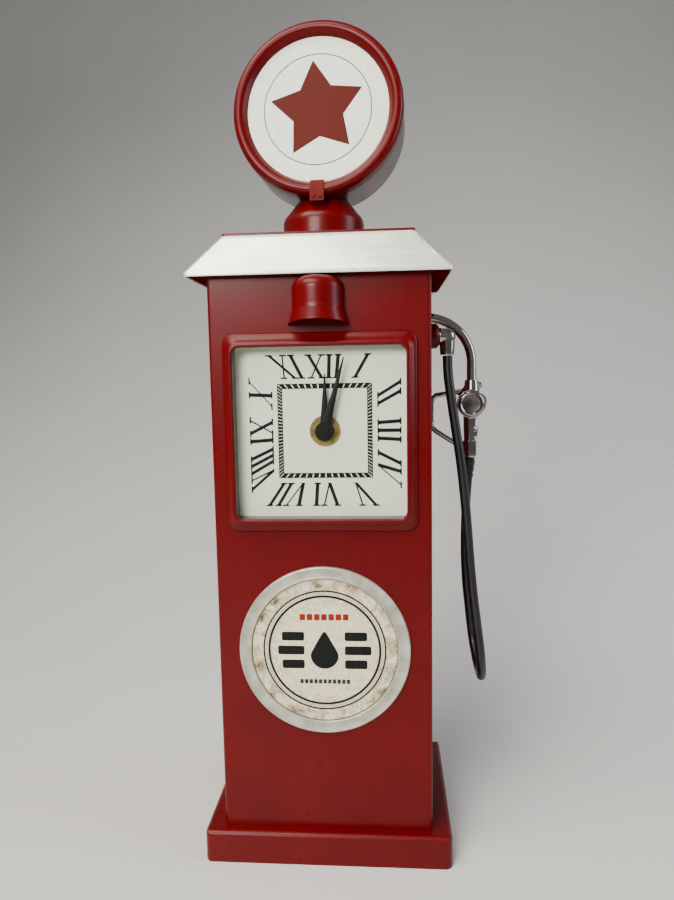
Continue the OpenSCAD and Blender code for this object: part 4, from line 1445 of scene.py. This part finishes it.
@dataclass
class Badge:
    """The round badge below the clock: bright rim, foxed face, rings, and plain shapes in its middle."""

    paints: Paintbox
    rim_mm: float = 44.0
    window_mm: float = 37.7
    thick_mm: float = 1.8
    rings_mm: tuple[tuple[float, float], ...] = ((31.3, 0.8), (28.5, 1.15))
    ink_mm: float = 0.05

    def place(self) -> Matrix:
        """Where the badge's middle, up and outward axes are in the frame, its level 0 on the column.

        Returns:
            The matrix that takes a piece built about Z there.
        """
        low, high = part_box("badge_rim")
        return Matrix.Translation(
            ((low.x + high.x) / 2, low.y + self.thick_mm * MM, (low.z + high.z) / 2)
        ) @ Matrix.Rotation(math.radians(90), 4, "X")

    def rim(self) -> bpy.types.Object:
        """The rim: flat, with a rolled outer edge and a bright turned-in inner edge.

        Returns:
            The mesh object.
        """
        r, w, t = self.rim_mm, self.window_mm, self.thick_mm
        rolled = [(r, 0.0), (r, t - 0.7), (r - 0.15, t - 0.3), (r - 0.45, t - 0.06), (r - 0.8, t)]
        flat = [(r - 1.15, t - 0.1), (r - 1.5, t - 0.24), (w + 1.3, t - 0.3)]
        turned_in = [(w + 0.9, t - 0.16), (w + 0.5, t - 0.12), (w + 0.15, t - 0.3), (w, t - 0.6), (w, 0.0)]
        profile = [*rolled, *flat, *turned_in, (r, 0.0)]
        rim = turned("badge_rolled_rim", profile, 160)
        settle(rim, self.place())
        return rim

    def blocks(self, name: str, boxes: Sequence[tuple[float, float, float, float]]) -> bpy.types.Object:
        """Flat printed blocks with rounded corners.

        Args:
            name: The piece's name.
            boxes: (across, up, width, height) of each block's middle and size in millimetres.

        Returns:
            The mesh object.
        """
        sheet = empty_sheet(name)
        for across, up, width, height in boxes:
            bpy.ops.mesh.select_all(action="DESELECT")
            bpy.ops.mesh.primitive_plane_add(size=1 * MM, location=(across * MM, up * MM, 0))
            bpy.ops.transform.resize(value=(width, height, 1), center_override=(across * MM, up * MM, 0))
            bpy.ops.mesh.bevel(offset=min(width, height) * 0.2 * MM, segments=3, affect="VERTICES")
        bpy.ops.mesh.select_all(action="SELECT")
        bpy.ops.mesh.extrude_region_move(TRANSFORM_OT_translate={"value": (0, 0, self.ink_mm * MM)})
        bpy.ops.mesh.select_all(action="SELECT")
        bpy.ops.mesh.normals_make_consistent(inside=False)
        bpy.ops.object.mode_set(mode="OBJECT")
        return sheet

    def drop(self) -> bpy.types.Object:
        """A plain fuel drop: a round print, its top drawn out to a point.

        Returns:
            The mesh object.
        """
        round_mm = 7.2
        tip_mm = 12.5
        lowered_mm = 2.6
        drop = cut_disc("badge_drop", round_mm, self.ink_mm, 48)
        deselect()
        bpy.context.view_layer.objects.active = drop
        bpy.ops.object.mode_set(mode="EDIT")
        mesh = bmesh.from_edit_mesh(drop.data)
        for vertex in mesh.verts:
            x, y = vertex.co.x / MM, vertex.co.y / MM
            rise = max(0.0, y / round_mm)
            vertex.co.y += (tip_mm - round_mm) * rise**2.2 * MM
            vertex.co.x *= 1 - 0.55 * rise**1.5 if abs(x) > 0.01 else 1
            vertex.co.y -= lowered_mm * MM
        bmesh.update_edit_mesh(drop.data)
        bpy.ops.object.mode_set(mode="OBJECT")
        return drop

    def build(self) -> None:
        """Rolls the rim and prints the face."""
        self.paints.dress(self.rim(), Body.ROOT, "dull_zinc", replaces=["badge_rim"])
        face = (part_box("badge_rim")[0].y + self.thick_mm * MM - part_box("badge_face")[0].y) / MM
        outer, inner = self.rings_mm
        marks: list[tuple[bpy.types.Object, Print]] = [
            (cut_disc("badge_band", outer[0], self.ink_mm * 0.6, 128, inner[0]), BAND_TIN),
            # A thin dark ring of painted shade at the rim's inner edge, for the shadow where the rim meets
            # the face
            (
                cut_disc("badge_seam", self.window_mm - 0.02, self.ink_mm, 128, self.window_mm - 0.4),
                SEAM_SHADE_INK,
            ),
            (self.drop(), BLACK_INK),
        ]
        for number, (radius, width) in enumerate(self.rings_mm):
            outside, inside = radius + width / 2, radius - width / 2
            ring = cut_disc(f"badge_ring_{number}", outside, self.ink_mm, 128, inside)
            marks.append((ring, BLACK_INK))
        bars = [
            (side * (10.4 + length / 2), up, length, 4.6)
            for side in (-1, 1)
            for up, length in ((7.4, 11.5), (0.0, 13.6), (-7.4, 11.5))
        ]
        upper = [(3.7 * i, 17.6, 2.9, 3.3) for i in range(-3, 4)]
        lower = [(2.4 * i, -16.6, 1.8, 2.3) for i in range(-5, 6)]
        marks.append((self.blocks("badge_bars", bars), BLACK_INK))
        marks.append((self.blocks("badge_upper_dashes", upper), RED_INK))
        marks.append((self.blocks("badge_lower_dashes", lower), GREY_INK))
        for piece, finish in marks:
            settle(piece, self.place() @ Matrix.Translation((0, 0, face * MM)))
            self.paints.dress(piece, Body.ROOT, None, finish)
        frame["nodes"]["badge_face"].data.materials[0] = self.paints.mixed(BADGE_TIN)


# --------------------------------------------------------------------------------------------------
# Column, canopy and nozzle
# --------------------------------------------------------------------------------------------------


@dataclass
class Bezel:
    """The pressed square frame round the glass: a rolled foot, a slope and a soft inner edge."""

    paints: Paintbox
    window_mm: float = 85.0
    proud_mm: float = 6.0

    def build(self) -> None:
        """Presses the bezel."""
        low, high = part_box("bezel")
        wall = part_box("column_shell")[0].y
        wide, tall = ((high - low) / MM).xz
        w, p = self.window_mm, self.proud_mm
        ledge = p - 0.78
        foot = [
            (wide, tall, 6.0, 0.05), (wide, tall, 6.0, 1.1), (wide - 0.7, tall - 0.7, 5.7, 1.9),
            (wide - 1.9, tall - 1.9, 5.4, 2.35), (wide - 2.9, tall - 2.9, 5.2, 2.45),
        ]
        crest = [
            (w + 4.6, w + 5.6, 5.0, p - 1.1), (w + 3.4, w + 4.2, 4.9, p - 0.4),
            (w + 2.2, w + 2.8, 4.8, p - 0.06), (w + 1.2, w + 1.6, 4.6, p - 0.02),
            (w + 0.4, w + 0.6, 4.4, p - 0.2), (w, w, 4.2, p - 0.55),
        ]
        inside = [(w, w, 4.2, ledge), (w + 2.0, w + 2.0, 4.8, ledge), (w + 2.0, w + 2.0, 4.8, 0.05)]
        bezel = framed("pressed_bezel", [*foot, *crest, *inside, foot[0]])
        middle = Vector(((low.x + high.x) / 2, wall, (low.z + high.z) / 2))
        settle(bezel, Matrix.Translation(middle) @ Matrix.Rotation(math.radians(90), 4, "X"))
        self.paints.dress(bezel, Body.ROOT, "red_paint", replaces=["bezel"])


@dataclass
class Canopy:
    """The hipped tin roof: a turned lip, four slopes with soft hips, and the waves of hand pressing."""

    paints: Paintbox
    lip_mm: float = 2.2
    tin_mm: float = 0.8
    crown_mm: tuple[float, float] = (95.0, 76.0)
    wave_mm: float = 0.14
    crease_mm: float = 2.2
    crease_reach_mm: float = 9.0

    def crumple(self, roof: bpy.types.Object, lip: Point, crown: Point, rise: float) -> None:
        """Waves the slopes a little and presses the right front hip in, all towards the inside.

        Args:
            roof: The roof, its lip at level 0.
            lip: Half width and half depth at the lip in millimetres.
            crown: Half width and half depth at the crown in millimetres.
            rise: Its height in millimetres.
        """
        deselect()
        bpy.context.view_layer.objects.active = roof
        bpy.ops.object.mode_set(mode="EDIT")
        bpy.ops.mesh.select_all(action="SELECT")
        bpy.ops.mesh.subdivide(number_cuts=5)
        mesh = bmesh.from_edit_mesh(roof.data)
        mesh.normal_update()
        for vertex in mesh.verts:
            spot = vertex.co / MM
            climb = min(max((spot.z - self.lip_mm) / (rise - self.lip_mm), 0.0), 1.0)
            if not 0.01 < climb < 0.97:
                continue
            hip = Vector((lip[0] + (crown[0] - lip[0]) * climb, -lip[1] + (lip[1] - crown[1]) * climb))
            apart = (spot.xy - hip).length
            swell = math.sin(math.pi * min(1.0, climb * 0.85 + 0.12))
            near = max(0.0, 1 - apart / self.crease_reach_mm) ** 1.2 * swell
            fold = 0.3 + 1.4 * abs(noise.noise(spot * 0.42))
            wave = 0.5 + 0.5 * noise.noise(Vector((spot.x * 0.035, spot.y * 0.035, spot.z * 0.09)))
            depth = self.crease_mm * near * fold + self.wave_mm * wave * math.sin(math.pi * climb)
            if near > 0 or abs(spot.x) > crown[0]:
                vertex.co.x -= math.copysign(depth * 0.6, spot.x) * MM
            if abs(spot.y) > crown[1]:
                vertex.co.y -= math.copysign(depth * 0.6, spot.y) * MM
            vertex.co.z -= depth * 0.5 * MM
        bmesh.update_edit_mesh(roof.data)
        bpy.ops.object.mode_set(mode="OBJECT")
        smooth(roof, 22)

    def build(self) -> None:
        """Presses the roof."""
        low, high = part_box("canopy_roof")
        wide, deep, rise = (high - low) / MM
        crown_w, crown_d = self.crown_mm
        t = self.tin_mm
        steps = [
            (wide - 1.2, deep - 1.2, 2.6, 0.0), (wide - 0.4, deep - 0.4, 2.9, 0.05), (wide, deep, 3.0, 0.5),
            (wide, deep, 3.0, self.lip_mm - 0.5), (wide - 0.5, deep - 0.4, 3.0, self.lip_mm),
            ((wide + crown_w) / 2, (deep + crown_d) / 2, 2.6, (rise + self.lip_mm) / 2),
            (crown_w + 0.8, crown_d + 0.5, 2.2, rise - 0.5), (crown_w - 0.6, crown_d - 0.6, 2.0, rise),
            (crown_w - 12, crown_d - 12, 2.0, rise), (crown_w - 12, crown_d - 12, 2.0, rise - t),
            (crown_w - 2, crown_d - 2, 2.0, rise - t),
            (wide - 2 * t - 1, deep - 2 * t - 1, 2.4, self.lip_mm - t),
            (wide - 2 * t, deep - 2 * t, 2.4, 0.3), (wide - 1.2, deep - 1.2, 2.6, 0.0),
        ]
        roof = framed("pressed_roof", steps)
        self.crumple(roof, (wide / 2, deep / 2), (crown_w / 2, crown_d / 2), rise)
        settle(roof, Matrix.Translation(((low.x + high.x) / 2, (low.y + high.y) / 2, low.z)))
        self.paints.dress(roof, Body.ROOT, "silver_paint", replaces=["canopy_roof"])


@dataclass
class Hands:
    """The two hands: long tapered blades with a raised middle ridge, each on a round hub."""

    paints: Paintbox
    root_mm: float = 2.5
    tip_mm: float = 0.28
    thick_mm: float = 0.5
    ridge_share: float = 0.45

    def blade(
        self, name: str, tilt: float, reach: float, hub_mm: float, level: tuple[float, float]
    ) -> bpy.types.Object:
        """One hand, pointing up and then tilted clockwise about the pivot.

        Args:
            name: The piece's name.
            tilt: Degrees clockwise from twelve.
            reach: Length from the pivot in millimetres.
            hub_mm: Radius of its hub in millimetres.
            level: y of its back and of its front in millimetres.

        Returns:
            The mesh object.
        """
        back, front = level
        deselect()
        bpy.ops.mesh.primitive_cube_add(size=1 * MM)
        blade = bpy.context.object
        blade.name = name
        blade.scale = (self.root_mm * 2, back - front, reach)
        blade.location = (0, (back + front) / 2 * MM, reach / 2 * MM)
        bpy.ops.object.transform_apply(location=True, rotation=False, scale=True)
        bpy.ops.object.mode_set(mode="EDIT")
        bpy.ops.mesh.select_all(action="SELECT")
        bpy.ops.mesh.bisect(plane_co=(0, 0, 0), plane_no=(1, 0, 0))
        mesh = bmesh.from_edit_mesh(blade.data)
        for vertex in mesh.verts:
            far = vertex.co.z > reach * 0.5 * MM
            vertex.co.x *= self.tip_mm / self.root_mm if far else 1.0
            outer = abs(vertex.co.x) > 0.01 * MM
            if outer and vertex.co.y < (back + front) / 2 * MM:
                vertex.co.y += (back - front) * self.ridge_share * MM
        bmesh.update_edit_mesh(blade.data)
        bpy.ops.object.mode_set(mode="OBJECT")
        crest = front - 0.02
        hub_profile = [
            (0.0, crest), (hub_mm - 0.25, crest), (hub_mm, front + 0.22), (hub_mm, back), (0.0, back)
        ]
        hub = turned(f"{name}_hub", hub_profile, 64)
        settle(hub, Matrix.Rotation(math.radians(-90), 4, "X"))
        deselect()
        hub.select_set(True)
        blade.select_set(True)
        bpy.context.view_layer.objects.active = blade
        bpy.ops.object.join()
        low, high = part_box("bush_washer")
        pivot = Matrix.Translation(((low.x + high.x) / 2, 0, (low.z + high.z) / 2))
        settle(blade, pivot @ Matrix.Rotation(math.radians(tilt), 4, "Y"))
        smooth(blade, 25)
        return blade

    def build(self) -> None:
        """Makes both hands."""
        hands = ((Body.HOUR, "hour_hand", 1.0, 28.4, 4.0), (Body.MINUTE, "minute_hand", 15.5, 37.9, 4.7))
        for body, node, tilt, reach, hub_mm in hands:
            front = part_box(node)[0].y / MM + 0.01
            blade = self.blade(f"{node}_blade", tilt, reach, hub_mm, (front + self.thick_mm, front))
            self.paints.dress(blade, body, "black_enamel", replaces=[node])


@dataclass
class Neck:
    """The spun neck under the globe: a short drum, a sloping shoulder and a throat that the globe sits in."""

    paints: Paintbox
    drum_mm: float = 9.6
    throat_mm: float = 14.0
    tin_mm: float = 1.0

    def build(self) -> None:
        """Spins the neck."""
        low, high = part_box("neck")
        radius = (high.x - low.x) / 2 / MM
        rise = (high.z - low.z) / MM
        t = self.tin_mm
        run = self.drum_mm
        shoulder = arc((radius - 7.0, run), 7.0, 0, 48, 10)
        top = [(r, h * 0.9 + run * 0.1) for r, h in arc((self.throat_mm - 2.4, rise - 3.4), 3.4, 44, 80, 6)]
        inside = [(r - t, h - t * 0.6) for r, h in reversed(shoulder + top)]
        neck = turned(
            "spun_neck",
            [(radius, 0.0), *shoulder, *top, *inside, (radius - t, 0.0), (radius, 0.0)],
            128,
        )
        settle(neck, Matrix.Translation(((low.x + high.x) / 2, (low.y + high.y) / 2, low.z)))
        self.paints.dress(neck, Body.ROOT, "red_paint", replaces=["neck"])


@dataclass
class NozzleCaps:
    """The two dished caps of the valve: a bright rolled ring round a dark well, raised in its middle."""

    paints: Paintbox
    radius_mm: float = 7.2
    thick_mm: float = 1.5

    def build(self) -> None:
        """Turns both caps."""
        low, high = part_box("nozzle_caps")
        middle = (low + high) / 2
        r, t = self.radius_mm, self.thick_mm
        profile = [
            (0.0, 0.0), (r, 0.0), (r, t * 0.5), (r - 0.3, t * 0.82), (r - 0.8, t), (r - 1.4, t),
            (r - 1.8, t * 0.8), (r - 2.0, t * 0.3), (r - 2.05, t * 0.2), (0.0, t * 0.2), (0.0, 0.0),
        ]
        for side in (-1, 1):
            label = "front" if side < 0 else "back"
            cap = turned(f"dished_cap_{label}", profile, 96)
            well = turned(f"cap_well_{label}", [
                (0.0, t * 0.24), (2.0, t * 0.26), (3.6, t * 0.34), (r - 2.3, t * 0.5), (r - 1.9, t * 0.54),
                (r - 1.9, t * 0.2), (0.0, t * 0.2),
            ], 72)
            smooth(cap, 30)
            face = low.y if side < 0 else high.y
            place = Matrix.Translation((middle.x, face - side * t * MM, middle.z))
            turn = place @ Matrix.Rotation(math.radians(-90 * side), 4, "X")
            settle(cap, turn)
            settle(well, turn)
            self.paints.dress(cap, Body.NOZZLE, "chrome", replaces=["nozzle_caps"] if side < 0 else ())
            self.paints.dress(well, Body.NOZZLE, None, WELL_METAL)


@dataclass
class NozzleCasting:
    """The valve casting: barrel, shoulder, lug and waist run together as in one cast piece."""

    paints: Paintbox
    voxel_mm: float = 0.3
    barrel_r: float = 7.9
    barrel_t: float = 10.6
    spout_x: float = 81.5
    barrel_x: float = 80.8
    barrel_z: float = 237.5
    waist_x: float = 80.5
    waist_low: float = 215.6
    plane_y: float = 20.0
    guard_r: float = 1.5
    guard: tuple[Point, ...] = (
        (76.8, 244.6), (70.5, 243.8), (61.6, 242.4), (59.2, 240.4), (58.5, 237.6), (58.5, 226.4),
        (59.3, 223.6), (61.8, 221.4), (69.5, 216.4), (77.5, 211.6),
    )

    def ball(self, x: float, z: float, radius: float, flat: float = 1.0) -> None:
        """A rounded swelling of the casting, round or flattened across the nozzle's plane."""
        bpy.ops.mesh.primitive_uv_sphere_add(
            segments=32, ring_count=20, radius=radius * MM, location=(x * MM, self.plane_y * MM, z * MM)
        )
        bpy.context.object.scale = (1, flat, 1)

    def limb(self, start: Point, end: Point, r_start: float, r_end: float) -> None:
        """A tapered round limb in the nozzle's plane.

        Args:
            start: (x, z) of its first end in millimetres.
            end: (x, z) of its other end.
            r_start: Radius at the first end.
            r_end: Radius at the other end.
        """
        a = Vector((start[0], self.plane_y, start[1])) * MM
        b = Vector((end[0], self.plane_y, end[1])) * MM
        bpy.ops.mesh.primitive_cone_add(
            vertices=40, radius1=r_start * MM, radius2=r_end * MM, depth=(b - a).length,
            location=(a + b) / 2,
        )
        limb = bpy.context.object
        limb.rotation_mode = "QUATERNION"
        limb.rotation_quaternion = (b - a).to_track_quat("Z", "Y")

    def barrel(self) -> None:
        """The barrel across the casting."""
        bpy.ops.mesh.primitive_cylinder_add(
            vertices=72, radius=self.barrel_r * MM, depth=self.barrel_t * MM,
            location=(self.barrel_x * MM, self.plane_y * MM, self.barrel_z * MM),
            rotation=(math.radians(90), 0, 0),
        )

    def fuse(self, name: str, before: set[bpy.types.Object]) -> bpy.types.Object:
        """Runs the swellings and limbs made since a moment together into one casting.

        Args:
            name: The casting's name.
            before: The objects that were there at that moment.

        Returns:
            The mesh object.
        """
        parts = [o for o in bpy.data.objects if o not in before]
        deselect()
        for part in parts:
            part.select_set(True)
        bpy.context.view_layer.objects.active = parts[0]
        bpy.ops.object.join()
        casting = bpy.context.object
        casting.name = name
        bpy.ops.object.transform_apply(location=True, rotation=True, scale=True)
        casting.data.remesh_voxel_size = self.voxel_mm * MM
        bpy.ops.object.voxel_remesh()
        apply_modifier(casting, "SMOOTH", factor=0.5, iterations=6)
        apply_modifier(casting, "DECIMATE", ratio=0.5)
        settle(casting)
        smooth(casting, 60)
        return casting

    def elbow(self) -> None:
        """The stubby elbow on the wall, which the hose leaves downwards."""
        low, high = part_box("hose_elbow")
        self.plane_y = (low.y + high.y) / 2 / MM
        r = (high.y - low.y) / 2 / MM
        wall, out = low.x / MM, high.x / MM
        axis = high.z / MM - r
        before = set(bpy.data.objects)
        deselect()
        self.limb((wall + 0.05, axis), (out - r, axis - 0.3), r * 0.97, r * 0.99)
        self.ball(out - r - 0.05, axis - 0.4, r * 1.0)
        self.limb((out - r - 0.2, axis), (out - r - 0.2, low.z / MM + 0.3), r * 0.98, r * 0.86)
        self.limb((wall + 0.05, axis), (wall + 1.4, axis), r * 1.0, r * 1.0)
        casting = self.fuse("elbow_casting", before)
        self.paints.dress(casting, Body.ROOT, "chrome", replaces=["hose_elbow"])

    def build(self) -> None:
        """Casts the body and the elbow and polishes them."""
        before = set(bpy.data.objects)
        deselect()
        bx, bz, sx, wx, low = self.barrel_x, self.barrel_z, self.spout_x, self.waist_x, self.waist_low
        self.barrel()
        # Shoulder under the spout
        self.limb((sx, bz + 3), (sx, bz + 13.6), 5.0, 3.7)
        self.limb((bx - 3.5, bz + 3), (sx + 0.2, bz + 11), 4.0, 3.2)
        self.ball(bx + 4.4, bz + 1, 5.2)
        self.ball(bx + 6.0, bz - 1.2, 3.4)
        # Lug in front of the shoulder
        self.limb((sx + 1.5, bz + 7), (sx + 4.6, bz + 10.4), 2.0, 1.6)
        self.ball(sx + 4.6, bz + 10.4, 1.9)
        # Waist down to the collar
        self.limb((wx, low), (wx, bz - 3), 3.3, 3.8)
        self.limb((wx + 0.5, bz - 8.5), (bx + 5.2, bz - 2), 2.6, 3.6)
        self.limb((wx + 2.2, low + 3), (wx + 2.9, low + 8), 2.4, 2.2)
        self.ball(wx + 2.3, low + 6.8, 2.6)
        # Guard bar
        for start, end in zip(self.guard, self.guard[1:]):
            self.limb(start, end, self.guard_r, self.guard_r)
            self.ball(*end, self.guard_r * 1.02)
        casting = self.fuse("nozzle_casting", before)
        self.paints.dress(casting, Body.NOZZLE, "chrome", replaces=["nozzle_body", "nozzle_guard"])
        self.elbow()


def main() -> None:
    """Builds the studio and the pieces in order."""
    logging.basicConfig(level=logging.INFO, format="%(name)s: %(message)s")
    paints = Paintbox()
    studio = Studio()
    studio.camera()
    Hose(paints).build()
    studio.floor()
    studio.light()
    paints.dress_nodes()
    for node, finish in (("canopy_soffit", FLAT_RED), ("globe_tab", STRAP_RED), ("tab_rivets", STRAP_RED)):
        frame["nodes"][node].data.materials[0] = paints.mixed(finish)
    for part in (DialPrint, Globe, Badge, Bezel, Canopy, Hands, Neck, NozzleCasting, NozzleCaps):
        part(paints).build()


if __name__ == "__main__":
    main()
